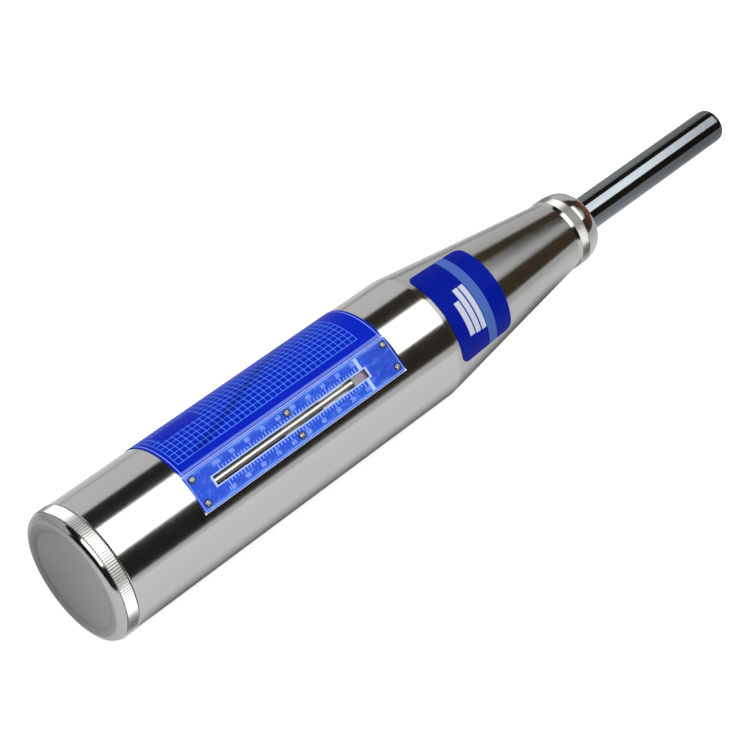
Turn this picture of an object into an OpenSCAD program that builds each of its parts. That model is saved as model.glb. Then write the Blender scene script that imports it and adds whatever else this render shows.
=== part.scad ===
// Concrete test hammer, the spring-driven rebound type.
// It lies on its side: the axis runs along X with the plunger towards +X, Z is up,
// and the origin is on the floor under the middle of the whole length.
// Inside a module the axis is Z, measured from the tail face, and +X points out of the scale.

/* [Body tube] */
// Outer diameter of the tube
body_d = 54; // [50:0.5:60]
// Wall of the tube, around the bore that the guide flange runs in
tube_wall = 5; // [4.6:0.1:6]
// Length of the cone in front of the tube
cone_len = 84; // [70:1:95]
// Outer diameter where the cone meets the nose cap
cone_front_d = 31; // [30:0.5:34]
// Wall of the cone, measured across the axis
cone_wall = 2.9; // [2.4:0.1:3.1]
// Turn of the scale from straight up towards the viewer, in degrees
lie_angle = 36.6; // [30:0.2:45]

/* [Tail cap] */
// How far the knurled rim stands proud of the tube
rim_proud = 0.2; // [0.1:0.05:1]
// Length of the polished round shoulder behind the knurl
shoulder_len = 2.8; // [2:0.1:5]
// Length of the knurled band
knurl_len = 5; // [3:0.25:9]
// Number of teeth in the knurl
knurl_teeth = 160; // [90:1:180]
// Depth of the knurl
knurl_depth = 0.4; // [0.2:0.05:0.6]
// Width of the polished shoulder, measured across the axis
shoulder_w = 4.2; // [2.5:0.1:5.5]
// Width of the flat ring between the shoulder and the dish
face_ring_w = 2; // [1:0.1:3]
// Width of the slope around the dish
dish_slope_w = 1.6; // [0.8:0.1:3]
// Depth of the dish
dish_depth = 0.7; // [0.3:0.1:1.2]
// Thickness of the end wall inside the dish
cap_wall = 2.3; // [1.8:0.1:3]
// Shadow gap between the knurl and the tube
cap_gap = 0.35; // [0.2:0.05:0.8]
// Length of the threaded spigot inside the tube
spigot_len = 7; // [5:0.5:12]
// Wall of the spigot
spigot_wall = 2.9; // [2:0.1:3.2]
// How deep the spigot's seat is cut into the wall of the tube
spigot_step = 1.4; // [1:0.1:1.8]

/* [Trip screw] */
// Diameter of the trip screw
trip_d = 5; // [4:0.25:6]
// Diameter of its boss inside the tail cap
trip_boss_d = 12; // [10:0.5:14]
// Height of that boss
trip_boss_h = 1.2; // [0.8:0.1:2]
// Thickness of the lock nut
lock_nut_t = 2.6; // [2:0.1:3]
// Width of the lock nut over its corners
lock_nut_d = 10; // [9:0.5:12]

/* [Travel] */
// Travel of the plunger from full reach to the trip point
press_travel = 78; // [70:1:84]
// Stroke of the hammer mass, and length of the scale
strike = 75; // [65:1:80]
// Travel of the plunger on its buffer spring
buffer_travel = 3; // [2:0.25:5]
// Travel of the lock button
button_travel = 2.5; // [1.8:0.1:2.6]
// Release angle of the pawl, in degrees
pawl_swing = 10; // [10:0.5:11]

/* [Guide carriage] */
// Thickness of the guide flange
flange_t = 7; // [6.5:0.25:9]
// Diameter of the guide rod
rod_d = 8; // [7:0.25:8.5]
// Length of the rod inside the plunger
rod_reach = 25.8; // [16:0.2:34]
// Width of the notch that lets the flange pass the pointer
notch_w = 5.4; // [5:0.1:6]
// Width of the slot for the pawl
pawl_slot_w = 5; // [4.8:0.1:6]

/* [Pawl] */
// Diameter of the pawl's pin
pawl_pin_d = 3; // [2.6:0.1:3.2]
// Length of the pin
pawl_pin_len = 13; // [11:0.25:15]
// Diameter of the pawl's boss around the pin
pawl_boss_d = 6; // [5.4:0.1:6.4]
// Depth of the pin under the hammer's outside
pawl_pin_depth = 3; // [2.8:0.1:3.2]
// How far the hook reaches over the rim
hook_lift = 1; // [0.7:0.05:1.1]
// Thickness of the hook's arm
hook_arm_t = 1.9; // [1.5:0.1:2]
// Distance of the tail's rear face behind the guide flange
tail_drop = 6.5; // [6:0.1:7]
// Thickness of the tail
tail_t = 3; // [2.5:0.1:3.4]

/* [Hammer mass] */
// Room around the hammer mass, for the pawl and the pointer's leaf
hammer_room = 4.5; // [4.4:0.1:5.5]
// Thickness of the rim that the pawl holds
rim_t = 3; // [2.5:0.1:3.2]
// Length of the groove in front of the rim
groove_len = 5.5; // [5:0.1:8]
// Depth of the groove
groove_depth = 2.3; // [1.6:0.1:3]
// Length of the thick body in front of the groove
hammer_body_len = 31.5; // [24:0.5:36]
// Length of the collar that holds the impact spring
spring_collar_len = 6.5; // [4:0.5:8]
// Diameter of the collar and of the seat that hold the impact spring
spring_collar_d = 23.8; // [23:0.1:24]
// Length of the slim neck
neck_len = 23.5; // [16:0.5:28]
// Diameter of the slim neck
neck_d = 20.8; // [18:0.2:21]

/* [Plunger and nose] */
// Diameter of the plunger
plunger_d = 15; // [14:0.1:16]
// How far the plunger stands out of the nose cap
plunger_reach = 91.6; // [88:0.2:105]
// Radius of the striking end
tip_radius = 25; // [20:1:30]
// Chamfer around the striking end
tip_chamfer = 0.4; // [0.4:0.1:1]
// Width of the grease groove in the mouth of the nose cap
groove_w = 1.2; // [0.8:0.1:1.5]
// Depth of the grease groove
grease_depth = 0.5; // [0.3:0.05:0.8]
// Diameter of the collar at the plunger's rear
plunger_collar_d = 19.2; // [18.5:0.1:20]
// Length of that collar
plunger_collar_len = 4; // [3:0.25:6]
// Depth of the hole in the plunger's rear
plunger_hole = 50.8; // [42:0.2:60]
// Length of the plunger bush
bush_len = 9.7; // [7:0.1:14]
// Bore of the impact spring seat
seat_bore_d = 21.8; // [21.6:0.1:22]
// Wall of the seat's long neck
seat_wall = 1.6; // [1.2:0.05:1.7]
// Distance from the cone's front edge back to the shoulder that carries the seat
seat_depth = 15.7; // [14:0.1:18]
// Thickness of the seat's flange
seat_flange_t = 4; // [3:0.25:5]
// Length of the seat's spigot inside the spring
seat_spigot_len = 7; // [5:0.5:9]
// Depth of the groove for the clamp half-rings
clamp_groove = 0.7; // [0.4:0.05:0.9]
// Diameter of the thread under the nose cap
nose_thread_d = 28; // [27.6:0.1:28.6]
// Length of that thread
nose_thread_len = 5; // [3.5:0.25:8]
// Thickness of the two clamp half-rings
clamp_t = 1.5; // [1:0.1:2.5]
// Diameter over the nose cap's matte band
nose_cap_d = 31.6; // [31:0.1:34]
// Length of the straight band
nose_band_len = 5.9; // [3:0.1:7]
// Diameter of the nose cap's front face
nose_face_d = 25.4; // [24.6:0.1:26]
// Thickness of the felt seal
felt_t = 3; // [1.5:0.1:3.6]
// Diameter of the felt seal
felt_d = 22; // [20:0.25:23]
// Thickness of the lip in front of the felt
nose_lip = 3; // [0.8:0.1:3.6]

/* [Scale and pointer] */
// Distance from the tail face to the scale plate
plate_rear = 45.5; // [40:0.5:52]
// Width of the scale plate
plate_w = 15.4; // [13:0.2:15.4]
// Thickness of the scale plate
plate_t = 0.6; // [0.4:0.05:0.9]
// Depth of the milled flat under the plate, from the tube's outside
flat_depth = 1.2; // [1:0.05:1.5]
// Distance from the plate's rear end to the slot
slot_start = 10.1; // [9:0.1:14]
// Distance from the slot to the plate's front end
slot_end_margin = 14.8; // [12:0.1:20]
// Width of the slot
slot_w = 3.6; // [3:0.1:4.4]
// How much longer the slot is than the scale
slot_extra = 1.6; // [0.5:0.1:3]
// Length of the rider that shows in the slot at zero
rider_show = 7; // [5:0.25:9]
// Length of the rider
rider_len = 12; // [10:0.25:16]
// Width of the rider
rider_w = 6; // [5.2:0.1:7]
// Diameter of the pointer rod
pointer_rod_d = 2.6; // [2:0.1:2.7]
// Depth of the pointer rod's axis under the milled flat
pointer_rod_depth = 1.8; // [1.7:0.05:1.9]
// Length of the pointer, from the index line to the end of its leaf
pointer_len = 20; // [16:0.5:22]
// Width of the pointer leaf
leaf_w = 4; // [3:0.1:4.4]
// Spacing of the scale screws across the plate
screw_pitch = 10; // [9:0.2:11]
// Diameter of the screw heads
screw_head_d = 2.6; // [2:0.1:3]

/* [Labels] */
// Thickness of the printed labels
label_t = 0.15; // [0.1:0.01:0.18]
// Angle around the body covered by the chart label
chart_arc = 118; // [60:1:140]
// Distance from the cone's rear edge to the name label
name_start = 2.5; // [2:0.25:10]
// Length of the name label along the axis
name_len = 31.8; // [18:0.2:40]
// Width of the name label around the cone
name_w = 44.2; // [30:0.2:52]
// Corner radius of the name label
name_corner = 3.4; // [1:0.2:6]

/* [Springs] */
// Wire of the impact spring
impact_wire = 1.6; // [1.2:0.1:1.8]
// Turns of the impact spring
impact_turns = 12; // [8:1:16]
// Wire of the compression spring
return_wire = 1.6; // [1.2:0.1:1.8]
// Turns of the compression spring
return_turns = 9; // [6:1:9]
// How much smaller the compression spring is than the hammer mass, at the middle of its wire
return_inset = 1; // [0.8:0.1:1.4]
// Room between the impact spring's collars and the middle of its wire
impact_room = 2.1; // [2:0.05:2.3]

/* [Lock button] */
// Diameter of the button's head
button_d = 8; // [7:0.1:8.4]
// Diameter of its stem
stem_d = 6; // [5:0.1:6.4]
// Thickness of the head
button_head_t = 4.1; // [2:0.1:4.2]
// Wall of the bush around the head
button_wall = 1.35; // [1:0.05:1.5]

/* [Fits] */
// Radial clearance of a sliding or turning fit
run_clear = 0.05; // [0.02:0.01:0.08]
// Gap between pieces that move past each other without a fit
free_gap = 0.3; // [0.25:0.05:0.4]
// Radial gap of a fixed seat
seat_gap = 0.06; // [0.04:0.01:0.08]
// Gap that keeps the hammer off the plunger at the end of its stroke
impact_gap = 0.4; // [0.3:0.05:0.6]

/* [Hidden] */
$fn = 96;

// A small overlap that keeps cuts clean
eps = 0.01;
body_r = body_d / 2;
bore_r = body_r - tube_wall;
rim_r = body_r + rim_proud;
hammer_r = bore_r - hammer_room;
flat_h = body_r - flat_depth;
pointer_rod_h = flat_h - pointer_rod_depth;

// Stations along the axis, from the tail face towards the plunger
cap_front = shoulder_len + knurl_len;
tube_rear = cap_front + cap_gap;
cap_inside = dish_depth + cap_wall;
spigot_r = bore_r + spigot_step;
spigot_end = cap_front + spigot_len;
flange_stop_gap = 0.7;
flange_pressed = spigot_end + flange_stop_gap;
flange_rear = flange_pressed + press_travel;
flange_front = flange_rear + flange_t;
flange_r = bore_r - run_clear;
hammer_rear = flange_front + free_gap;
rim_front = hammer_rear + rim_t;
groove_front = rim_front + groove_len;
shoulder_front = groove_front + hammer_body_len;
spring_rear = shoulder_front;
collar_front = shoulder_front + spring_collar_len;
hammer_front = collar_front + neck_len;
plunger_rear = hammer_front + strike + buffer_travel + impact_gap;
collar_end = plunger_rear + plunger_collar_len;
bush_rear = collar_end + impact_gap;
bush_front = bush_rear + bush_len;

// Nose: the clamp half-rings sit between the threaded neck and the cap's front wall
clamp_side_gap = 0.25;
clamp_zone = clamp_t + 2 * clamp_side_gap + free_gap;
neck_end = bush_front - clamp_zone;
cone_front = neck_end - nose_thread_len;
cone_start = cone_front - cone_len;
nose_wall_in = bush_front + seat_gap;
felt_rear = nose_wall_in + free_gap;
nose_front = felt_rear + felt_t + free_gap + nose_lip;
tip = nose_front + plunger_reach;
overall_len = tip;

// Inside of the cone: a straight wall, then the shoulder that the spring seat rests on
cone_front_r = cone_front_d / 2;
cone_slope = (body_r - cone_front_r) / cone_len;
function cone_r(z) = body_r - cone_slope * (z - cone_start);
bore_end = cone_start + (body_r - cone_wall - bore_r) / cone_slope;
seat_shoulder = cone_front - seat_depth;
seat_neck_r = seat_bore_d / 2 + seat_wall;
seat_flange_r = cone_r(seat_shoulder) - cone_wall - free_gap;

// Scale, slot and pointer
pointer_travel = strike;
slot_rear = plate_rear + slot_start;
slot_len = pointer_travel + slot_extra;
slot_front = slot_rear + slot_len;
plate_len = slot_start + slot_len + slot_end_margin;
plate_top = flat_h + plate_t;
flat_margin = 0.3;
rider_rear = slot_front - rider_show;
rider_front = rider_rear + rider_len;
index_line = slot_front - slot_extra;
channel_rear = rider_rear - pointer_travel - free_gap;
channel_front = rider_front + free_gap;
channel_w = rider_w + 2 * run_clear;
rod_socket = 3.2;
rider_low = bore_r + 2 * run_clear;
leaf_t = 0.5;
leaf_top = bore_r - free_gap;
leaf_tip_h = hammer_r + 2 * free_gap;
leaf_rear = index_line - pointer_len;
notch_floor = leaf_tip_h - free_gap;
screw_rows = [2.9, 49.2, plate_len - 2.5];
screw_shank_d = 1.4;
screw_depth = 2;

// Pawl: a bell crank in the flange's slot, on the side square to the scale
pawl_r = hammer_r - pawl_pin_depth;
pawl_z = flange_rear + flange_t / 2;
pawl_w = pawl_slot_w - 2 * free_gap;
pawl_boss_r = pawl_boss_d / 2;
pawl_slot_inner = pawl_r - 6.5;
hook_in = pawl_pin_depth - hook_lift;
arm_in = pawl_pin_depth + free_gap;
arm_out = arm_in + hook_arm_t;
hook_rear = rim_front + 2 * free_gap - pawl_z;
hook_front = groove_front - 5 * free_gap - pawl_z;
tail_rear = flange_rear - tail_drop - pawl_z;
trip_tip = flange_pressed - tail_drop - free_gap;
pawl_spring_wire = 0.5;
pawl_spring_d = 2.4;
pawl_spring_z = flange_rear + pawl_spring_d / 2 + free_gap;
pawl_spring_in = rod_d / 2 + 3 * free_gap;
pawl_spring_out = pawl_r - 4;

// Lock button, on the side opposite the scale
button_z = flange_pressed + flange_t + free_gap + stem_d / 2;
stem_tip = flange_r + free_gap;
button_floor_t = 1.3;
button_floor = bore_r + 2 * run_clear;
button_spring_in = button_floor + button_floor_t;
button_spring_room = 1.1;
button_under = button_spring_in + button_travel + button_spring_room;
button_top = button_under + button_head_t;
button_bush_r = button_d / 2 + run_clear + button_wall;
button_bush_top = body_r + 0.9;
button_wire = 0.3;

// Springs
impact_d = spring_collar_d + 2 * impact_room;
return_d = 2 * (hammer_r - return_inset);
buffer_d = 6;
buffer_wire = 0.9;

steel = [0.62, 0.63, 0.65];
dark_steel = [0.32, 0.33, 0.35];
satin_metal = [0.80, 0.80, 0.79];
bronze = [0.66, 0.45, 0.24];
felt_brown = [0.45, 0.27, 0.15];
label_blue = [0.06, 0.12, 0.75];
plate_blue = [0.12, 0.28, 0.85];

// Lays the axis along X and turns the scale towards the viewer
module lay() {
    translate([-overall_len / 2, 0, rim_r])
        rotate([180 + lie_angle, 0, 0])
            rotate([0, 90, 0])
                children();
}

// Solid of revolution from [radius, station] points
module revolve(points) {
    rotate_extrude()
        polygon(points);
}

// Plain tube between two stations
module tube(r_out, r_in, z0, z1) {
    difference() {
        translate([0, 0, z0])
            cylinder(r = r_out, h = z1 - z0);
        translate([0, 0, z0 - eps])
            cylinder(r = r_in, h = z1 - z0 + 2 * eps);
    }
}

// Points of a quarter ellipse from [r0, z0] to [r1, z1] that leaves along the axis
function round_edge(r0, z0, r1, z1, steps = 8) = [
    for (i = [0 : steps]) [r1 + (r0 - r1) * cos(90 * i / steps), z0 + (z1 - z0) * sin(90 * i / steps)]
];

// Coil spring along Z from z0 to z1, as one closed tube
coil_rings = 8;
coil_sides = 6;
function coil_centre(d, pitch, start, i) = [
    d / 2 * cos(start + 360 * i / coil_rings),
    d / 2 * sin(start + 360 * i / coil_rings),
    pitch * i / coil_rings
];
function coil_gap(d, wire, pitch) = min([
    for (i = [-2 : 2])
        norm(coil_centre(d, pitch, 0, coil_rings + i) - coil_centre(d, pitch, 0, 0)) - wire
]);
module coil_spring(d, wire, z0, z1, turns, start = 0) {
    count = turns * coil_rings;
    pitch = (z1 - z0 - wire) / turns;
    points = [
        for (i = [0 : count], k = [0 : coil_sides - 1])
            let (a = start + 360 * i / coil_rings, b = 360 * k / coil_sides)
            coil_centre(d, pitch, start, i)
                + wire / 2 * [cos(b) * cos(a), cos(b) * sin(a), sin(b)]
    ];
    sides = [
        for (i = [0 : count - 1], k = [0 : coil_sides - 1], half = [0, 1])
            let (n = (k + 1) % coil_sides, a = i * coil_sides, b = a + coil_sides)
            half == 0 ? [a + k, b + k, b + n] : [a + k, b + n, a + n]
    ];
    ends = [
        for (k = [1 : coil_sides - 2], top = [0, 1])
            let (c = count * coil_sides)
            top == 1 ? [c, c + k + 1, c + k] : [0, k, k + 1]
    ];
    echo(least_gap_mm = coil_gap(d, wire, pitch));
    translate([0, 0, z0 + wire / 2])
        polyhedron(points, concat(sides, ends));
}

// Flat outline with rounded corners, centred across and starting at zero along
module round_plate(len, w, r) {
    for (y = [-1, 1], x = [r, len - r])
        translate([x, y * (w / 2 - r)])
            circle(r);
    translate([r, -w / 2])
        square([len - 2 * r, w]);
    translate([0, -w / 2 + r])
        square([len, w - 2 * r]);
}

// Straight distance between the sides of the name label where it lies round a radius
function sheet_chord(r) = 2 * r * sin(name_w / 2 / r * 180 / PI);

// Flat outline like the one above whose width goes from w0 at the start to w1 at the end
module tapered_plate(l, w0, w1, r, steps = 6) {
    lean = atan((w0 - w1) / 2 / l);
    turn = 90 - lean;
    rear = [r, w0 / 2 - r * (1 + sin(lean)) / cos(lean)];
    front = [l - r, w0 / 2 - (r + (l - r) * sin(lean)) / cos(lean)];
    half = concat(
        [for (i = [0 : steps]) let (a = 180 - (180 - turn) * i / steps) rear + r * [cos(a), sin(a)]],
        [for (i = [0 : steps]) let (a = turn - turn * i / steps) front + r * [cos(a), sin(a)]]
    );
    polygon(concat(half, [for (i = [len(half) - 1 : -1 : 0]) [half[i][0], -half[i][1]]]));
}

// Lays a flat outline on the scale side: X of the outline along the axis, at a height over it
module on_scale(z, h, t) {
    translate([h, 0, z])
        rotate([0, -90, 180])
            linear_extrude(t)
                children();
}

// Places a radial piece on the side opposite the scale, its Z pointing outwards
module on_button(z) {
    translate([0, 0, z])
        rotate([0, -90, 0])
            children();
}

// Tube and cone in one piece, with the flat for the scale, the pointer's channel and the button's hole
module housing() {
    counterbore_end = spigot_end + free_gap;
    edge = 0.3;
    shell = concat(
        [[spigot_r + seat_gap, tube_rear], [body_r - edge, tube_rear], [body_r, tube_rear + edge]],
        [[body_r, cone_start], [cone_front_r, cone_front], [nose_thread_d / 2, cone_front]],
        [[nose_thread_d / 2, neck_end], [seat_neck_r + seat_gap, neck_end]],
        [[seat_neck_r + seat_gap, seat_shoulder]],
        [[cone_r(seat_shoulder) - cone_wall, seat_shoulder], [bore_r, bore_end]],
        [[bore_r, counterbore_end], [spigot_r + seat_gap, counterbore_end]]
    );
    color(satin_metal) lay() difference() {
        revolve(shell);
        on_scale(plate_rear - flat_margin, flat_h, body_r)
            translate([0, -body_r])
                square([plate_len + 2 * flat_margin, body_d]);
        on_scale(channel_rear, bore_r - 1, body_r)
            translate([0, -channel_w / 2])
                square([channel_front - channel_rear, channel_w]);
        translate([pointer_rod_h, 0, channel_rear - rod_socket])
            cylinder(d = pointer_rod_d + 2 * seat_gap, h = channel_front - channel_rear + 2 * rod_socket);
        for (x = screw_rows, y = [-1, 1])
            translate([flat_h - screw_depth - seat_gap, y * screw_pitch / 2, plate_rear + x])
                rotate([0, 90, 0])
                    cylinder(d = screw_shank_d + 2 * seat_gap, h = body_r);
        on_button(button_z)
            translate([0, 0, bore_r - 2])
                cylinder(r = button_bush_r + seat_gap, h = body_r);
    }
}

// Screwed-on tail cap: dished face, polished shoulder, straight knurl and threaded spigot
module tail_cap() {
    root_r = rim_r - knurl_depth;
    core_r = root_r - 0.1;
    face_r = core_r - shoulder_w;
    dish_r = face_r - face_ring_w;
    spigot_in = spigot_r - spigot_wall;
    blind_end = dish_depth + 0.8;
    shoulder = [
        for (p = round_edge(core_r, 0, face_r, -shoulder_len)) [p[0], p[1] + shoulder_len]
    ];
    outside = concat(
        [[0, dish_depth], [dish_r - dish_slope_w, dish_depth], [dish_r, 0]],
        [for (i = [len(shoulder) - 1 : -1 : 0]) shoulder[i]],
        [[core_r, cap_front], [spigot_r, cap_front], [spigot_r, spigot_end], [spigot_in, spigot_end]],
        [[spigot_in, cap_inside], [trip_boss_d / 2, cap_inside]],
        [[trip_boss_d / 2, cap_inside + trip_boss_h], [0, cap_inside + trip_boss_h]]
    );
    tooth = 360 / knurl_teeth;
    star = [
        for (i = [0 : knurl_teeth - 1], k = [0, 1])
            let (a = tooth * (i + k / 2), r = k == 0 ? rim_r : root_r)
            [r * cos(a), r * sin(a)]
    ];
    color(satin_metal) lay() difference() {
        union() {
            revolve(outside);
            translate([0, 0, shoulder_len])
                linear_extrude(knurl_len)
                    difference() {
                        polygon(star);
                        circle(spigot_r);
                    }
        }
        translate([0, 0, blind_end])
            cylinder(d = trip_d + 2 * seat_gap, h = spigot_end);
    }
}

// Screw on the axis that trips the pawl at the end of the press
module trip_screw() {
    r = trip_d / 2;
    start = dish_depth + 0.8 + seat_gap;
    color(dark_steel) lay()
        revolve(concat([[0, start], [r, start]], round_edge(r, trip_tip - 1, 0, trip_tip)));
}

module trip_lock_nut() {
    start = cap_inside + trip_boss_h;
    color(steel) lay() difference() {
        translate([0, 0, start])
            cylinder(d = lock_nut_d, h = lock_nut_t, $fn = 6);
        translate([0, 0, start - eps])
            cylinder(d = trip_d + 2 * seat_gap, h = lock_nut_t + 2 * eps);
    }
}

// Screwed-on nose cap: chamfer, matte band, rounded front, and a pocket for the felt
module nose_cap() {
    band_r = nose_cap_d / 2;
    face_r = nose_face_d / 2;
    edge = 0.6;
    rear = cone_front + cap_gap;
    band_end = rear + nose_band_len;
    thread_r = nose_thread_d / 2 + seat_gap;
    pocket_r = felt_d / 2 + seat_gap;
    mouth_r = plunger_d / 2 + free_gap;
    lip_in = nose_front - nose_lip;
    color(satin_metal) lay()
        revolve(concat(
            [[thread_r, rear], [band_r - edge, rear], [band_r, rear + edge]],
            round_edge(band_r, band_end, face_r, nose_front),
            [[mouth_r, nose_front], [mouth_r, lip_in], [pocket_r, lip_in]],
            [[pocket_r, nose_wall_in], [thread_r, nose_wall_in]]
        ));
}

module felt_seal() {
    color(felt_brown) lay()
        tube(felt_d / 2, plunger_d / 2 + free_gap, felt_rear, felt_rear + felt_t);
}

module plunger_bush() {
    color(bronze) lay()
        tube(seat_bore_d / 2 - seat_gap, plunger_d / 2 + run_clear, bush_rear, bush_front);
}

// Seat of the impact spring: spigot for the last turns, flange on the cone's shoulder, and a long neck
module spring_seat() {
    bore = seat_bore_d / 2;
    flange_end = seat_shoulder - seat_gap;
    flange_start = flange_end - seat_flange_t;
    spigot_start = flange_start - seat_spigot_len;
    groove_r = seat_neck_r - clamp_groove;
    groove_rear = neck_end + clamp_side_gap;
    groove_end = groove_rear + clamp_t + seat_gap;
    color(steel) lay()
        revolve([
            [bore, spigot_start], [spring_collar_d / 2, spigot_start],
            [spring_collar_d / 2, flange_start], [seat_flange_r, flange_start],
            [seat_flange_r, flange_end], [seat_neck_r, flange_end],
            [seat_neck_r, groove_rear], [groove_r, groove_rear],
            [groove_r, groove_end], [seat_neck_r, groove_end],
            [seat_neck_r, bush_front], [bore, bush_front]
        ]);
}

// Two half-rings that lock the spring seat against the end of the threaded neck
module clamp_rings() {
    split = 0.4;
    rear = neck_end + clamp_side_gap + seat_gap / 2;
    color(steel) lay() difference() {
        tube(nose_thread_d / 2 - free_gap, seat_neck_r - clamp_groove + seat_gap, rear, rear + clamp_t);
        translate([-split / 2, -body_r, rear - eps])
            cube([split, body_d, clamp_t + 2 * eps]);
    }
}

// Scale plate on the milled flat, with the slot that shows the pointer
module scale_plate() {
    color(plate_blue) lay()
        on_scale(plate_rear, flat_h, plate_t)
            difference() {
                round_plate(plate_len, plate_w, 1);
                translate([slot_start, -slot_w / 2])
                    square([slot_len, slot_w]);
                for (x = screw_rows, y = [-1, 1])
                    translate([x, y * screw_pitch / 2])
                        circle(d = screw_shank_d + 2 * seat_gap);
            }
}

module scale_screws() {
    head_h = 0.6;
    color(steel) lay()
        for (x = screw_rows, y = [-1, 1])
            translate([flat_h - screw_depth, y * screw_pitch / 2, plate_rear + x])
                rotate([0, 90, 0]) {
                    cylinder(d = screw_shank_d, h = screw_depth + plate_t + eps);
                    translate([0, 0, screw_depth + plate_t])
                        cylinder(d1 = screw_head_d, d2 = screw_head_d - 0.6, h = head_h);
                }
}

// Printed chart, wrapped from the edge of the flat up over the tube
module chart_label() {
    r = body_r + seat_gap;
    edge_angle = acos(flat_h / body_r) + 0.3;
    color(label_blue) lay()
        rotate([0, 0, -edge_angle - chart_arc])
            rotate_extrude(angle = chart_arc)
                translate([r, plate_rear])
                    square([label_t, plate_len]);
}

// Name label on the cone, centred on the line of the scale: a flat sheet of even width, laid round
module name_label() {
    z0 = cone_start + name_start;
    z1 = z0 + name_len;
    r0 = cone_r(z0) + seat_gap;
    r1 = cone_r(z1) + seat_gap;
    color(label_blue) lay()
        intersection() {
            revolve([[r0, z0], [r0 + label_t, z0], [r1 + label_t, z1], [r1, z1]]);
            on_scale(z0, 0, body_d)
                tapered_plate(name_len, sheet_chord(r0), sheet_chord(r1), name_corner);
        }
}

// Rod that the rider slides along, held in a socket at each end of its channel
module pointer_rod() {
    end_gap = 0.1;
    start = channel_rear - rod_socket + end_gap;
    color(steel) lay()
        translate([pointer_rod_h, 0, start])
            cylinder(d = pointer_rod_d, h = channel_front - channel_rear + 2 * (rod_socket - end_gap));
}

// Rider with the index line, on its rod in the channel under the scale plate
module pointer_rider() {
    top = flat_h - free_gap;
    line_w = 0.4;
    color([0.62, 0.58, 0.56]) lay() difference() {
        translate([rider_low, -rider_w / 2, rider_rear])
            cube([top - rider_low, rider_w, rider_len]);
        translate([pointer_rod_h, 0, rider_rear - eps])
            cylinder(r = pointer_rod_d / 2 + run_clear, h = rider_len + 2 * eps);
        translate([top - 0.2, -rider_w, index_line - line_w / 2])
            cube([1, 2 * rider_w, line_w]);
    }
}

// Leaf on a foot under the rider, bent inwards at its end to be carried along by the hammer's rim
module pointer_leaf() {
    color(steel) lay()
        translate([0, -leaf_w / 2, 0]) {
            translate([leaf_top - leaf_t, 0, leaf_rear])
                cube([leaf_t, leaf_w, rider_front - leaf_rear]);
            translate([leaf_top - eps, 0, rider_rear])
                cube([rider_low - leaf_top + eps, leaf_w, rider_len]);
            translate([leaf_tip_h, 0, leaf_rear])
                cube([leaf_top - leaf_tip_h, leaf_w, leaf_t]);
        }
}

// Sleeve in the wall that guides the lock button
module button_bush() {
    color(steel) lay()
        on_button(button_z)
            difference() {
                translate([0, 0, button_floor])
                    cylinder(r = button_bush_r, h = button_bush_top - button_floor);
                translate([0, 0, button_spring_in])
                    cylinder(r = button_d / 2 + run_clear, h = body_r);
                translate([0, 0, button_floor - eps])
                    cylinder(r = stem_d / 2 + run_clear, h = body_r);
            }
}

// Button that holds the carriage in the pressed place
module lock_button() {
    r = button_d / 2;
    crown = 0.6;
    color(dark_steel) lay()
        on_button(button_z)
            revolve(concat(
                [[0, stem_tip], [stem_d / 2 - 0.4, stem_tip], [stem_d / 2, stem_tip + 0.4]],
                [[stem_d / 2, button_under], [r, button_under]],
                round_edge(r, button_top - crown, r - crown, button_top),
                [[0, button_top]]
            ));
}

module button_spring() {
    color(steel) lay()
        on_button(button_z)
            coil_spring(stem_d + 1.2, button_wire, button_spring_in + eps, button_under - eps, 3);
}

// Tension spring from the hammer's collar to the seat in the nose
module impact_spring() {
    front = seat_shoulder - seat_gap - seat_flange_t;
    color(steel) lay()
        coil_spring(impact_d, impact_wire, spring_rear + 0.05, front - 0.05, impact_turns);
}

// Spring that pushes the carriage and the plunger out again
module compression_spring() {
    color(steel) lay()
        coil_spring(return_d, return_wire, cap_inside + 0.05, flange_rear - 0.05, return_turns, 120);
}

// Rod that guides the hammer, screwed into the flange and reaching into the plunger
module guide_rod() {
    r = rod_d / 2;
    start = flange_rear + 0.6;
    end = plunger_rear + rod_reach;
    color(steel) lay()
        revolve([[0, start], [r, start], [r, end - 0.6], [r - 0.6, end], [0, end]]);
}

// Flange that slides in the bore, with the pointer's notch and the pawl's slot
module guide_flange() {
    edge = 0.5;
    color(steel) lay() difference() {
        revolve([
            [0, flange_rear], [flange_r - edge, flange_rear], [flange_r, flange_rear + edge],
            [flange_r, flange_front - edge], [flange_r - edge, flange_front], [0, flange_front]
        ]);
        translate([0, 0, flange_rear - eps])
            cylinder(r = rod_d / 2 + seat_gap, h = flange_t + 2 * eps);
        translate([notch_floor, -notch_w / 2, flange_rear - eps])
            cube([body_r, notch_w, flange_t + 2 * eps]);
        translate([-pawl_slot_w / 2, pawl_slot_inner, flange_rear - eps])
            cube([pawl_slot_w, body_r, flange_t + 2 * eps]);
        translate([-pawl_pin_len / 2 - seat_gap, pawl_r, pawl_z])
            rotate([0, 90, 0])
                cylinder(r = pawl_pin_d / 2 + seat_gap, h = pawl_pin_len + 2 * seat_gap);
        translate([0, pawl_spring_in, pawl_spring_z])
            rotate([-90, 0, 0])
                cylinder(r = pawl_spring_d / 2 + pawl_spring_wire / 2 + 0.2, h = pawl_slot_inner);
    }
}

module pawl_pin() {
    color(dark_steel) lay()
        translate([-pawl_pin_len / 2, pawl_r, pawl_z])
            rotate([0, 90, 0])
                cylinder(d = pawl_pin_d, h = pawl_pin_len);
}

// Pushes the pawl's tail outwards, so that the hook stays over the hammer's rim
module pawl_spring() {
    color(steel) lay()
        translate([0, 0, pawl_spring_z])
            rotate([-90, 0, 0])
                coil_spring(pawl_spring_d, pawl_spring_wire, pawl_spring_in + 0.05, pawl_spring_out, 4);
}

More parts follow.
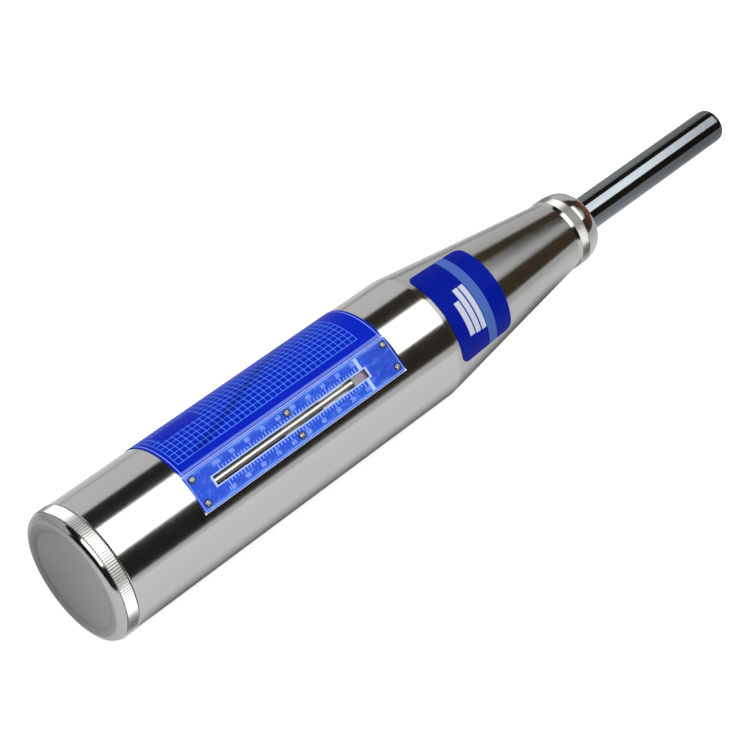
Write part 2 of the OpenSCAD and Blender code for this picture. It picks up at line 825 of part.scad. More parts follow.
// Bell crank: hook over the rim of the hammer, tail across the axis in front of the trip screw
module pawl() {
    edge = 0.6;
    elbow = 5.2;
    elbow_rear = 2.4;
    elbow_lift = 1;
    outline = [
        [0, -pawl_boss_r], [arm_out, -edge], [arm_out, hook_front], [hook_in, hook_front],
        [hook_in, hook_rear + edge], [hook_in + edge, hook_rear], [arm_in, hook_rear],
        [arm_in, flange_t / 2], [0, pawl_boss_r], [edge - pawl_boss_r, edge],
        [-elbow, tail_rear + tail_t + elbow_lift], [-pawl_r, tail_rear + tail_t], [-pawl_r, tail_rear],
        [-elbow_rear, tail_rear + elbow_lift]
    ];
    color(dark_steel) lay()
        translate([-pawl_w / 2, pawl_r, pawl_z])
            rotate([90, 0, 90])
                linear_extrude(pawl_w)
                    difference() {
                        union() {
                            polygon(outline);
                            circle(pawl_boss_r);
                        }
                        circle(r = pawl_pin_d / 2 + run_clear);
                    }
}

// Stepped hammer mass that slides on the guide rod
module hammer_mass() {
    r = hammer_r;
    groove_r = r - groove_depth;
    rod_hole = rod_d / 2 + run_clear;
    edge = 0.6;
    color(steel) lay()
        revolve([
            [rod_hole, hammer_rear], [r - edge, hammer_rear], [r, hammer_rear + edge],
            [r, rim_front], [groove_r, rim_front], [groove_r, groove_front], [r, groove_front],
            [r, shoulder_front - edge], [r - edge, shoulder_front],
            [spring_collar_d / 2, shoulder_front], [spring_collar_d / 2, collar_front],
            [neck_d / 2, collar_front], [neck_d / 2, hammer_front - edge],
            [neck_d / 2 - edge, hammer_front], [rod_hole, hammer_front]
        ]);
}

// Striking plunger: collar, shank, chamfered end with its ball-ground face, and the rod's hole
module plunger() {
    r = plunger_d / 2;
    groove_end = nose_front + free_gap;
    end_r = r - tip_chamfer;
    dome = tip_radius - sqrt(pow(tip_radius, 2) - pow(end_r, 2));
    end_angle = asin(end_r / tip_radius);
    hole_r = rod_d / 2 + run_clear;
    steps = 6;
    face = [
        for (i = [0 : steps])
            let (a = end_angle * (1 - i / steps))
            [tip_radius * sin(a), tip - tip_radius * (1 - cos(a))]
    ];
    color(dark_steel) lay()
        revolve(concat(
            [[hole_r, plunger_rear], [plunger_collar_d / 2, plunger_rear]],
            [[plunger_collar_d / 2, collar_end], [r, collar_end], [r, groove_end - groove_w]],
            [[r - grease_depth, groove_end - groove_w], [r - grease_depth, groove_end]],
            [[r, groove_end], [r, tip - dome - tip_chamfer]],
            face,
            [[0, plunger_rear + plunger_hole], [hole_r, plunger_rear + plunger_hole]]
        ));
}

module buffer_spring() {
    start = plunger_rear + rod_reach;
    end = plunger_rear + plunger_hole;
    color(steel) lay()
        coil_spring(buffer_d, buffer_wire, start + 0.05, end - 0.05, 7);
}

housing();
tail_cap();
trip_screw();
trip_lock_nut();
nose_cap();
felt_seal();
plunger_bush();
spring_seat();
clamp_rings();
scale_plate();
scale_screws();
chart_label();
name_label();
pointer_rod();
button_bush();
button_spring();
impact_spring();
compression_spring();
guide_rod();
guide_flange();
pawl_pin();
pawl_spring();
pawl();
hammer_mass();
plunger();
buffer_spring();
pointer_rider();
pointer_leaf();
lock_button();
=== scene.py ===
import math

import bmesh
import bpy
from bpy.props import FloatProperty, FloatVectorProperty, IntProperty, PointerProperty
from mathutils import Matrix, Vector


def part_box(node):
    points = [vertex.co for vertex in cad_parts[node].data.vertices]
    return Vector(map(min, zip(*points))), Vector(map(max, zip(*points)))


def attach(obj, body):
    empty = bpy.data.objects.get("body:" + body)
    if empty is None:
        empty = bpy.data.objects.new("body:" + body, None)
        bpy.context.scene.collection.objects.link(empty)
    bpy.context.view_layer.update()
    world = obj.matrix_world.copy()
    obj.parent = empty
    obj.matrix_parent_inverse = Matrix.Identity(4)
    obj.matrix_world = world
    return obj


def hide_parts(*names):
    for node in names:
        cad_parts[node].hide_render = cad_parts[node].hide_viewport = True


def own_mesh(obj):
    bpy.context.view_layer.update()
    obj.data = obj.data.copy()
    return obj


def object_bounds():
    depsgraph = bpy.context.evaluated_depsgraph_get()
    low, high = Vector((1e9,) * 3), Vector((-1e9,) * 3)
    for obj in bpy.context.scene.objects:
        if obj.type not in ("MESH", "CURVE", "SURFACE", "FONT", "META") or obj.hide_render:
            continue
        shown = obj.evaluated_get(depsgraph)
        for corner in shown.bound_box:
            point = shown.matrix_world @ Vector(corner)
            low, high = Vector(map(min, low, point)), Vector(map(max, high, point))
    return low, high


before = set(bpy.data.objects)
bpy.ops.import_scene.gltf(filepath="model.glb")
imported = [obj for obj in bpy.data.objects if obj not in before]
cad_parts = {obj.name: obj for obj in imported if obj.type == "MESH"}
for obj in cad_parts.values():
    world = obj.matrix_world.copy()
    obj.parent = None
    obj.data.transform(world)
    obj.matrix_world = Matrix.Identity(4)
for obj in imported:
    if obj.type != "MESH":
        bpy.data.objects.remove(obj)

bl_info = {
    "name": "Concrete test hammer",
    "version": (1, 0, 0),
    "blender": (4, 5, 0),
    "location": "View3D > Sidebar > Hammer",
    "description": "Dresses the packed frame of a concrete test hammer and sets it on a pale floor",
    "category": "Object",
}

CAD_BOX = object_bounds()
MM = 0.001
WHITE = (1.0, 1.0, 1.0)
LIE_ANGLE = math.radians(36.6)
LENGTH = (CAD_BOX[1][0] - CAD_BOX[0][0]) / MM
RIM_R = (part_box("tail_cap")[1][2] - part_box("tail_cap")[0][2]) / 2 / MM

# The pieces are modelled upright in millimetres, the axis along Z from the tail and the scale on +X
LAY = (
    Matrix.Translation((-LENGTH / 2 * MM, 0, RIM_R * MM))
    @ Matrix.Rotation(math.pi + LIE_ANGLE, 4, "X")
    @ Matrix.Rotation(math.pi / 2, 4, "Y")
    @ Matrix.Scale(MM, 4)
)


def station(node, end):
    """Where a node of the frame begins (0) or ends (1) along the axis, in millimetres from the tail."""
    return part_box(node)[end][0] / MM + LENGTH / 2


NOSE_REAR, NOSE_FRONT = station("nose_cap", 0), station("nose_cap", 1)
TUBE_R = 27.0
TUBE_END = 172.0
CONE_FRONT = 256.0
CONE_SLOPE = 11.5 / 84.0
FLAT = 25.8
PLATE_TOP = 26.4
SHEET_REAR, SHEET_FRONT = 45.5, 147.0
SCREW_ROWS, SCREW_ASIDE = (48.4, 94.7, 144.5), 5.0
ROD_HEIGHT = 24.0
BUTTON_AT = 25.8
TAIL_FLOOR = 3.05
TO_SCALE = (LAY.to_3x3() @ Vector((1, 0, 0))).normalized()
ACROSS_SCALE = (LAY.to_3x3() @ Vector((0, 1, 0))).normalized()


def length(name, description, default):
    """A size in metres, shown in the scene's own unit."""
    return FloatProperty(name=name, description=description, default=default, unit="LENGTH", precision=5)


def whole(name, description, default, least):
    """A whole number."""
    return IntProperty(name=name, description=description, default=default, min=least)


def colour(name, description, default):
    """A colour in linear values."""
    return FloatVectorProperty(
        name=name, description=description, default=default, subtype="COLOR", size=3, min=0, max=1
    )


class BodySizes(bpy.types.PropertyGroup):
    """Sizes of the turned pieces."""

    steps: whole("Steps", "Steps of a full turn on the large pieces", 256, 48)
    small_steps: whole("Small steps", "Steps of a full turn on small pieces", 48, 12)
    body_radius: length("Body radius", "Outer radius of the tube", 0.027)
    sharp: FloatProperty(
        name="Sharp angle", description="Edges turning more than this stay crisp", default=math.radians(11),
        subtype="ANGLE",
    )
    teeth: whole("Knurl teeth", "Teeth of the tail cap's straight knurl", 160, 40)
    tooth_height: length("Tooth height", "Height of a knurl tooth", 0.00045)
    nose_teeth: whole("Nose teeth", "Teeth of the nose cap's fine knurl", 144, 40)
    dish_depth: length("Dish depth", "Depth of the dish in the tail face", 0.0007)


class PrintSizes(bpy.types.PropertyGroup):
    """Sizes of the printed lines."""

    grid_pitch: length("Grid pitch", "Spacing of the chart's columns", 0.002567)
    row_pitch: length("Row pitch", "Spacing of the chart's rows round the tube", 0.00242)
    grid_line: length("Grid line", "Width of the chart's lines", 0.0002)
    tick_pitch: length("Tick pitch", "Spacing of the scale's short ticks", 0.00152)
    tick_line: length("Tick line", "Width of the scale's ticks", 0.00036)
    figure_height: length("Figure height", "Height of the scale's figures", 0.0016)


class Colours(bpy.types.PropertyGroup):
    """Base colours of the finishes."""

    body_metal: colour("Body metal", "Turned light metal of the body", (0.56, 0.56, 0.55))
    cap_metal: colour("Cap metal", "Turned light metal of the caps", (0.55, 0.55, 0.54))
    plunger_steel: colour("Plunger steel", "Dark polished steel of the plunger", (0.175, 0.195, 0.21))
    inner_steel: colour("Inner steel", "Machined steel of the moving parts", (0.46, 0.46, 0.47))
    dark_steel: colour("Dark steel", "Hardened dark steel", (0.14, 0.14, 0.15))
    bronze: colour("Bronze", "Bearing bronze of the plunger's bush", (0.48, 0.27, 0.11))
    felt: colour("Felt", "Felt of the dust seal", (0.19, 0.10, 0.05))
    chart_blue: colour("Chart blue", "Ground of the chart", (0.0008, 0.010, 0.41))
    plate_blue: colour("Plate blue", "Ground of the scale plate", (0.021, 0.074, 0.555))
    name_blue: colour("Label blue", "Ground of the label on the cone", (0.0004, 0.0055, 0.222))
    pale_ink: colour("Pale ink", "Printed lines", (0.30, 0.46, 0.92))
    white_ink: colour("White ink", "Bare boxes on the label", (0.50, 0.53, 0.62))


class StageSizes(bpy.types.PropertyGroup):
    """Camera and light."""

    lens: FloatProperty(name="Lens", description="Focal length of the camera", default=103.93, unit="CAMERA")
    softbox: FloatProperty(
        name="Softbox", description="Brightness of the overhead softbox", default=2.6, min=0
    )
    floor_size: length("Floor", "Side of the floor", 9.0)


class Value:
    """A shader socket that takes part in plain arithmetic."""

    def __init__(self, finish, socket):
        self.finish = finish
        self.socket = socket

    def _math(self, operation, a, b):
        return self.finish.node("ShaderNodeMath", {"operation": operation}, {0: a, 1: b})

    def __add__(self, other):
        return self._math("ADD", self, other)

    __radd__ = __add__

    def __sub__(self, other):
        return self._math("SUBTRACT", self, other)

    def __rsub__(self, other):
        return self._math("SUBTRACT", other, self)

    def __mul__(self, other):
        return self._math("MULTIPLY", self, other)

    __rmul__ = __mul__

    def __truediv__(self, other):
        return self._math("DIVIDE", self, other)

    def __rtruediv__(self, other):
        return self._math("DIVIDE", other, self)

    def __pow__(self, other):
        return self._math("POWER", self, other)

    def __abs__(self):
        return self._math("ABSOLUTE", self, 0.0)

    def __or__(self, other):
        return self._math("MAXIMUM", self, other)

    def __and__(self, other):
        return self._math("MINIMUM", self, other)


class Finish:
    """A procedural node tree; every node comes from its node method."""

    def __init__(self, tree):
        self.tree = tree
        tree.nodes.clear()

    def node(self, kind, settings, sockets, output=0):
        """Adds a node, sets or links its inputs and gives back one output, if it has any."""
        node = self.tree.nodes.new(kind)
        for key, value in settings.items():
            setattr(node, key, value)
        for key, value in sockets.items():
            if isinstance(value, Value):
                self.tree.links.new(value.socket, node.inputs[key])
            else:
                node.inputs[key].default_value = value
        return Value(self, node.outputs[output]) if node.outputs else None

    def split(self, vector):
        first = self.node("ShaderNodeSeparateXYZ", {}, {0: vector})
        return [Value(self, socket) for socket in first.socket.node.outputs]

    def rays(self, *kinds):
        """One for each kind of ray, on the rays of that kind."""
        path = self.node("ShaderNodeLightPath", {}, {}).socket.node.outputs
        return [Value(self, path["Is %s Ray" % kind]) for kind in kinds]

    def place(self):
        return self.node("ShaderNodeTexCoord", {}, {}, "Object")

    def along(self):
        """Station along the axis and the two directions across it, in millimetres."""
        x, y, z = self.split(self.place())
        return x * 1000.0 + LENGTH / 2, y * 1000.0, z * 1000.0 - RIM_R

    def printed(self):
        """The sheet's own coordinates in millimetres."""
        uv = self.node("ShaderNodeUVMap", {"uv_map": "sheet"}, {})
        u, v, _ = self.split(uv)
        return u, v

    def vector(self, x, y, z):
        return self.node("ShaderNodeCombineXYZ", {}, {0: x, 1: y, 2: z})

    def noise(self, vector, scale, detail=2.0, rough=0.5):
        return self.node(
            "ShaderNodeTexNoise", {}, {"Vector": vector, "Scale": scale, "Detail": detail, "Roughness": rough}
        )

    def fade(self, value, low, high, to_low=0.0, to_high=1.0):
        """A smooth step from one value to another."""
        return self.node(
            "ShaderNodeMapRange", {"interpolation_type": "SMOOTHSTEP"},
            {0: value, 1: low, 2: high, 3: to_low, 4: to_high},
        )

    def inside(self, value, low, high, soft=0.05):
        """One between two values, zero outside them."""
        return self.fade(value, low - soft, low + soft) * (1 - self.fade(value, high - soft, high + soft))

    def lines(self, value, start, pitch, width, soft=0.06):
        """One on evenly spaced lines, zero between them."""
        turn = (value - start) / pitch + 0.5
        off = abs(self.node("ShaderNodeMath", {"operation": "FRACT"}, {0: turn}) - 0.5) * pitch
        return 1 - self.fade(off, width / 2 - soft, width / 2 + soft)

    def stroke(self, value, at, width, soft=0.06):
        """One on a single line, zero beside it."""
        return 1 - self.fade(abs(value - at), width / 2 - soft, width / 2 + soft)

    def mix(self, factor, a, b):
        return self.node("ShaderNodeMix", {"data_type": "RGBA"}, {0: factor, 6: rgba(a), 7: rgba(b)}, 2)

    def tint(self, amount, base):
        """A base colour lightened or darkened by a varying amount around one."""
        grey = self.node("ShaderNodeCombineColor", {}, {0: amount, 1: amount, 2: amount})
        settings = {"data_type": "RGBA", "blend_type": "MULTIPLY"}
        return self.node("ShaderNodeMix", settings, {0: 1.0, 6: rgba(base), 7: grey}, 2)

    def bump(self, height, strength, distance):
        return self.node("ShaderNodeBump", {}, {"Strength": strength, "Distance": distance, "Height": height})

    def surface(self, **sockets):
        named = {key.replace("_", " ").title().replace("Ior", "IOR"): value for key, value in sockets.items()}
        self.node_output(self.node("ShaderNodeBsdfPrincipled", {}, named))

    def node_output(self, shader, kind="ShaderNodeOutputMaterial"):
        self.node(kind, {}, {"Surface": shader})

    def glow(self, amount):
        """A white light of a varying amount."""
        return self.node("ShaderNodeEmission", {}, {"Color": self.tint(amount, WHITE), "Strength": 1.0})


def rgba(value):
    """A colour as a socket takes it."""
    return value if isinstance(value, Value) else (*value[:3], 1.0)


def new_finish(name):
    material = bpy.data.materials.new(name)
    material.use_nodes = True
    return material, Finish(material.node_tree)


def colours():
    return bpy.context.scene.hammer_colours


def made(name, build):
    """The named material, built on its first use."""
    material = bpy.data.materials.get(name)
    if material is None:
        material, finish = new_finish(name)
        build(finish)
    return material


def lathe_marks(f, u, y, z):
    """The fine lines of a lathe tool running round the axis, and a slow cloud."""
    cuts = f.noise(f.vector(u * 9.0, y * 0.02, z * 0.02), 1.0, 3.0, 0.7)
    cloud = f.noise(f.vector(u * 0.05, y * 0.07, z * 0.07), 1.0, 3.0, 0.55)
    return cuts, cloud


def rod_metal(f):
    """Drawn rod, warm and dull."""
    cuts, cloud = lathe_marks(f, *f.along())
    f.surface(
        base_color=f.tint(0.955 + cuts * 0.03 + cloud * 0.06, (0.70, 0.67, 0.61)),
        metallic=1.0,
        roughness=0.42 + (cuts - 0.5) * 0.03 + (cloud - 0.5) * 0.03,
        normal=f.bump(cuts, 0.035, 0.0004),
    )


def body_metal(f):
    """Polished tube, a cone turned a shade darker, and a dull milled channel behind the slot."""
    u, y, z = f.along()
    out = y * TO_SCALE.y + z * TO_SCALE.z
    aside = y * ACROSS_SCALE.y + z * ACROSS_SCALE.z
    channel = f.inside(u, 49.8, 137.6) * f.inside(aside, -3.1, 3.1) * f.inside(out, 20.5, 25.7)
    cuts, cloud = lathe_marks(f, u, y, z)
    cone = f.fade(u, TUBE_END - 0.5, TUBE_END + 0.5)
    shade = f.tint(0.955 + cuts * 0.03 + cloud * 0.06 - cone * 0.13, colours().body_metal)
    f.surface(
        base_color=f.mix(channel, shade, (0.72, 0.69, 0.62)),
        metallic=1 - channel,
        roughness=0.13 + channel * 0.5 + (cuts + cloud - 1) * 0.03,
        normal=f.bump(cuts, 0.035, 0.0004),
    )


def tail_cap_metal(f):
    """Satin face with painted shade on the dish edge and across one side, a bright shoulder and a bright
    knurl.
    """
    u, y, z = f.along()
    radius = (y * y + z * z) ** 0.5
    face = 1 - f.fade(radius, 23.1, 24.3)
    knurl = f.inside(u, 2.75, 7.95)
    # painted shade: a dark stroke on the slope of the dish edge
    edge_tone = f.stroke(radius, 20.6, 1.2, 0.6) * face
    # painted shade: the cap darkens across y towards +y, except on the knurl
    shaded = f.fade(y, -24.0, 20.0, 0.06, 0.42) * (1 - knurl)
    rings = f.noise(f.vector(radius * 5.0, u * 0.1, 0.0), 1.0, 3.0, 0.6)
    cloud = f.noise(f.vector(u * 0.1, y * 0.09, z * 0.09), 1.0, 3.0, 0.55)
    base = f.mix(face, f.mix(knurl, colours().cap_metal, (0.72, 0.72, 0.70)), (0.40, 0.40, 0.39))
    f.surface(
        base_color=f.tint(0.93 + rings * 0.05 + cloud * 0.08 - edge_tone * 0.12 - shaded, base),
        metallic=1.0,
        roughness=0.11 + face * 0.25 + knurl * 0.2 + (rings - 0.5) * 0.05,
        normal=f.bump(rings, 0.05, 0.0004),
    )


def nose_metal(f):
    """Polished ends with a finely rolled band between them."""
    u, y, z = f.along()
    band = f.inside(u, NOSE_REAR + 1.35, NOSE_REAR + 5.95, 0.12)
    grains = f.noise(f.vector(u * 2.6, y * 2.6, z * 2.6), 1.0, 2.0, 0.6)
    cuts = f.noise(f.vector(u * 9.0, y * 0.03, z * 0.03), 1.0, 3.0, 0.7)
    base = f.mix(band, colours().cap_metal, (0.52, 0.52, 0.50))
    f.surface(
        base_color=f.tint(0.94 + grains * 0.05 + cuts * 0.05, base),
        metallic=1.0,
        roughness=0.12 + band * 0.2 + (grains - 0.5) * 0.06,
        normal=f.bump(grains * band * 0.3 + cuts * 0.1, 0.25, 0.0003),
    )


def plunger_metal(f):
    """Ground and polished dark steel, worn a little lighter and rougher at the domed end, with painted shade
    darkening it towards the tip.
    """
    u, y, z = f.along()
    grind = f.noise(f.vector(u * 6.0, y * 0.05, z * 0.05), 1.0, 3.0, 0.7)
    cloud = f.noise(f.vector(u * 0.06, y * 0.12, z * 0.12), 1.0, 3.0, 0.55)
    edge_tone = f.fade(u, 352.0, 360.0) * cloud
    # painted shade: the base colour darkens towards the tip
    tip = f.fade(u, 295.0, 350.0)
    shade = 0.92 + grind * 0.06 + cloud * 0.1 + edge_tone * 0.1 - tip * 0.26
    f.surface(
        base_color=f.tint(shade, colours().plunger_steel),
        metallic=1.0,
        roughness=0.08 + grind * 0.03 + edge_tone * 0.03,
        normal=f.bump(grind, 0.03, 0.0004),
    )


def machined(base, rough):
    """Machined inner metal with tool marks and a thin film of oil."""

    def build(f):
        u, y, z = f.along()
        marks = f.noise(f.vector(u * 5.0, y * 0.3, z * 0.3), 1.0, 3.0, 0.65)
        cloud = f.noise(f.place(), 120.0, 3.0, 0.55)
        f.surface(
            base_color=f.tint(0.86 + marks * 0.12 + cloud * 0.14, base),
            metallic=1.0,
            roughness=rough + marks * 0.08 + cloud * 0.06,
            normal=f.bump(marks, 0.06, 0.0004),
        )

    return build


def felt_cloth(f):
    """Pressed wool felt."""
    fibres = f.noise(f.place(), 5200.0, 6.0, 0.7)
    clumps = f.noise(f.place(), 900.0, 3.0, 0.6)
    f.surface(
        base_color=f.tint(0.65 + fibres * 0.4 + clumps * 0.3, colours().felt),
        roughness=0.9 + fibres * 0.08,
        sheen_weight=0.4,
        normal=f.bump(fibres + clumps, 0.6, 0.0003),
    )


def pale_print(f):
    """Pale printing ink."""
    grain = f.noise(f.place(), 2500.0, 3.0, 0.6)
    f.surface(base_color=f.tint(0.88 + grain * 0.2, colours().pale_ink), roughness=0.4 + grain * 0.1)


def rider_metal(f):
    """Grey block, pinkish past its middle, with painted shade darkening its front end."""
    u, _, _ = f.along()
    middle = f.fade(u, 127.8, 129.0)
    # painted shade: the front end is darkened where shade falls at the block's corner
    front = f.fade(u, 130.6, 131.4)
    cloud = f.noise(f.place(), 900.0, 3.0, 0.6)
    ground = f.mix(front, f.mix(middle, (0.215, 0.22, 0.215), (0.265, 0.18, 0.27)), (0.085, 0.06, 0.09))
    f.surface(base_color=f.tint(0.85 + cloud * 0.3, ground), metallic=0.15, roughness=0.36 + cloud * 0.12)


def film(f, base, rough, haze):
    """Printed sheet under a clear film that is a little wavy."""
    waves = f.noise(f.place(), 90.0, 2.0, 0.5)
    grain = f.noise(f.place(), 2600.0, 3.0, 0.6)
    f.surface(
        base_color=f.tint(0.94 + grain * 0.12, base),
        roughness=rough + (waves - 0.5) * 0.1 + grain * 0.03,
        specular_ior_level=haze,
        normal=f.bump(waves + grain * 0.03, 0.05, 0.001),
    )


def chart_print(f):
    """Blue chart: a grid of pale lines, one broad curve, a bare box and thin border lines."""
    sizes = bpy.context.scene.hammer_print
    u, v = f.printed()
    line = sizes.grid_line / MM
    left, right, first = 48.3, 138.2, 12.72
    field = f.inside(u, left - line / 2, right + line / 2, 0.03) * f.fade(v, first - 0.25, first - 0.15)
    columns = f.lines(u, left, sizes.grid_pitch / MM, line)
    rows = f.lines(v, first, sizes.row_pitch / MM, line)
    bare = f.inside(u, 52.0, 70.7, 0.05) * f.inside(v, 25.7, 33.7, 0.05)
    grid = (columns | rows) * field * (1 - bare)
    rise = u - 56.0
    curve = 12.25 + rise * 0.30 + rise * rise * 0.0015
    broad = (1 - f.fade(abs(v - curve), 0.5, 2.6)) * field * f.fade(u, 53.0, 58.0)
    border = f.stroke(u, 46.5, 0.3) | f.stroke(u, 145.8, 0.3)
    border = border | f.stroke(v, 8.75, 0.3) | f.stroke(v, 9.35, 0.2)
    cloud = f.noise(f.vector(u * 0.06, v * 0.12, 0.0), 1.0, 2.0, 0.5)
    ground = f.mix(cloud * 0.12, colours().chart_blue, colours().plate_blue)
    ground = f.mix(broad * 0.55, ground, (0.001, 0.006, 0.16))
    ink = f.mix(broad * 0.4, (0.11, 0.32, 0.90), (0.03, 0.13, 0.46))
    ground = f.mix(grid * 0.9, ground, ink)
    film(f, f.mix(border * 0.75, ground, colours().pale_ink), 0.34, 0.03)


def plate_print(f):
    """Blue scale plate: frame round the slot, ticks on both sides, a cross bar and border lines."""
    sizes = bpy.context.scene.hammer_print
    u, v = f.printed()
    side = abs(v)
    tick = sizes.tick_line / MM
    frame_line = f.inside(u, 54.7, 133.0) * f.inside(side, -1.0, 2.3)
    reach = f.inside(u, 59.0, 129.4, 0.05)
    short = f.lines(u, 60.0, sizes.tick_pitch / MM, tick) * f.inside(side, 2.3, 3.5, 0.05)
    tall = f.lines(u, 60.0, sizes.tick_pitch * 5 / MM, tick) * f.inside(side, 2.3, 4.3, 0.05)
    bar = f.inside(u, 129.9, 131.5, 0.08) * f.inside(side, 2.3, 6.9, 0.08)
    edge = f.stroke(side, 7.1, 0.3) | f.stroke(u, 46.1, 0.3) | f.stroke(u, 146.4, 0.3)
    rear, middle, front = SCREW_ROWS
    row = abs(abs(u - (rear + front) / 2) - (front - rear) / 2) & abs(u - middle)
    aside = side - SCREW_ASIDE
    rim = (row * row + aside * aside) ** 0.5
    # the plate is darkened in a ring round each screw head
    screw_ring = 1 - f.fade(rim, 1.35, 1.85)
    waves = f.noise(f.vector(u * 0.16, v * 0.35, 3.0), 1.0, 3.0, 0.6)
    creases = f.noise(f.vector(u * 0.5 + v * 0.5, v * 0.22, 9.0), 1.0, 4.0, 0.65)
    pale = f.fade(waves, 0.5, 0.72) * 0.35 + f.fade(creases, 0.56, 0.7) * 0.3
    pale = pale + f.fade(side + waves * 3, 6.8, 9.4) * 0.35
    ground = f.mix(pale & 1.0, colours().plate_blue, (0.16, 0.33, 0.80))
    ground = f.mix(f.fade(u, 131.0, 140.0, 0.0, 0.35), ground, (0.012, 0.035, 0.32))
    ground = f.mix(((short | tall) * reach) * 0.8, ground, colours().pale_ink)
    ground = f.mix(bar * 0.85, ground, (0.42, 0.58, 0.72))
    ground = f.mix(edge * 0.6, ground, colours().pale_ink)
    ground = f.mix(frame_line * 0.85, ground, (0.46, 0.57, 0.86))
    film(f, f.mix(screw_ring * 0.85, ground, (0.01, 0.012, 0.03)), 0.34, 0.06)


def name_print(f):
    """Deep blue label with one lighter band and three bare white boxes."""
    u, v = f.printed()
    band = f.inside(u, 191.75, 196.75, 0.08)
    boxes = (
        f.inside(u, 188.65, 191.3, 0.08) * f.inside(v, -6.6, 13.25, 0.08)
        | f.inside(u, 185.1, 187.9, 0.08) * f.inside(v, -6.6, 13.0, 0.08)
        | f.inside(u, 181.5, 184.4, 0.08) * f.inside(v, -2.0, 12.6, 0.08)
    )
    cloud = f.noise(f.vector(u * 0.1, v * 0.06, 0.0), 1.0, 2.0, 0.5)
    ground = f.mix(cloud * 0.2, colours().name_blue, (0.004, 0.03, 0.37))
    ground = f.mix(band, ground, (0.055, 0.115, 0.38))
    film(f, f.mix(boxes * 0.95, ground, colours().white_ink), 0.34, 0.03)


def profile_spin(points, steps, angle=2 * math.pi, ease=0.0):
    """Spins a profile of (radius, station) points round the axis and eases its sharp corners if asked."""
    bm = bmesh.new()
    on_axis = points[0][0] == 0 and points[-1][0] == 0
    verts = [bm.verts.new((r, 0, z)) for r, z in points]
    pairs = list(zip(verts, verts[1:])) + ([] if on_axis else [(verts[-1], verts[0])])
    edges = [bm.edges.new(pair) for pair in pairs]
    bmesh.ops.spin(
        bm, geom=verts + edges, cent=(0, 0, 0), axis=(0, 0, 1), angle=angle, steps=steps,
        use_merge=abs(angle - 2 * math.pi) < 1e-6,
    )
    bmesh.ops.remove_doubles(bm, verts=bm.verts[:], dist=1e-5)
    bmesh.ops.dissolve_degenerate(bm, edges=bm.edges[:], dist=1e-6)
    bmesh.ops.recalc_face_normals(bm, faces=bm.faces[:])
    if ease:
        break_edges(bm, ease)
    return bm


def break_edges(bm, width, least=math.radians(25), segments=2):
    """Rounds the edges that turn more than the least angle."""
    sharp = [e for e in bm.edges if len(e.link_faces) == 2 and e.calc_face_angle(0) > least]
    bmesh.ops.bevel(
        bm, geom=sharp, offset=width, offset_type="OFFSET", segments=segments, profile=0.5,
        affect="EDGES", clamp_overlap=True, material=-1,
    )


def quarter(r0, z0, r1, z1, count):
    """Points of a quarter ellipse that leaves (r0, z0) along the axis and ends square to it."""
    turn = math.pi / 2 / count
    return [
        (r1 + (r0 - r1) * math.cos(turn * i), z0 + (z1 - z0) * math.sin(turn * i)) for i in range(count + 1)
    ]


def rolled_ring(crest, height, teeth, tooth, rear, front):
    """A ring with a straight knurl; the tooth is given by height (0 to 1) and place within its pitch."""
    pitch = 2 * math.pi / teeth
    lead, eased, inside = 0.25, 0.9905, 0.975
    start = rear + lead
    bm = bmesh.new()
    verts = []
    for rise, turn in tooth:
        radius = crest - height * (1 - rise)
        verts.append(bm.verts.new((radius * math.cos(turn * pitch), radius * math.sin(turn * pitch), start)))
    edges = [bm.edges.new(pair) for pair in zip(verts, verts[1:])]
    bmesh.ops.spin(
        bm, geom=verts + edges, cent=(0, 0, 0), axis=(0, 0, 1), angle=2 * math.pi - pitch, steps=teeth - 1,
        use_duplicate=True,
    )
    bmesh.ops.remove_doubles(bm, verts=bm.verts[:], dist=1e-3)
    outline = bm.edges[:]
    inner = []
    to_front = ((front - lead, 1.0), (front, eased), (front, inside))
    to_rear = ((rear, eased), (rear, inside))
    for stops in (to_front, to_rear):
        loop, at, size = outline, start, 1.0
        for stop, scale in stops:
            grown = bmesh.ops.extrude_edge_only(bm, edges=loop)["geom"]
            points = [g for g in grown if isinstance(g, bmesh.types.BMVert)]
            loop = [g for g in grown if isinstance(g, bmesh.types.BMEdge)]
            bmesh.ops.translate(bm, vec=(0, 0, stop - at), verts=points)
            bmesh.ops.scale(bm, vec=(scale / size, scale / size, 1.0), verts=points)
            at, size = stop, scale
        inner += loop
    bmesh.ops.bridge_loops(bm, edges=inner)
    bmesh.ops.recalc_face_normals(bm, faces=bm.faces[:])
    return bm


def block(x, y, z):
    """A box between two values on each axis."""
    bm = bmesh.new()
    bmesh.ops.create_cube(bm, size=1.0)
    bmesh.ops.scale(bm, vec=(x[1] - x[0], y[1] - y[0], z[1] - z[0]), verts=bm.verts[:])
    bmesh.ops.translate(bm, vec=(sum(x) / 2, sum(y) / 2, sum(z) / 2), verts=bm.verts[:])
    return bm


def loose_object(bm, name):
    """An object that takes over the mesh."""
    mesh = bpy.data.meshes.new(name)
    bm.to_mesh(mesh)
    bm.free()
    obj = bpy.data.objects.new(name, mesh)
    bpy.context.collection.objects.link(obj)
    return obj


def carve(bm, cutters):
    """Takes the cutters out of a solid and gives the result back."""
    solid = loose_object(bm, "blank")
    tools = [loose_object(cutter, "cutter") for cutter in cutters]
    for tool in tools:
        cut = solid.modifiers.new("cut", "BOOLEAN")
        cut.operation = "DIFFERENCE"
        cut.solver = "EXACT"
        cut.object = tool
    result = bmesh.new()
    result.from_object(solid, bpy.context.evaluated_depsgraph_get())
    for obj in [solid] + tools:
        mesh = obj.data
        bpy.data.objects.remove(obj)
        bpy.data.meshes.remove(mesh)
    if not result.faces:
        raise RuntimeError("a cut left nothing of the solid")
    bmesh.ops.remove_doubles(result, verts=result.verts[:], dist=1e-5)
    return result


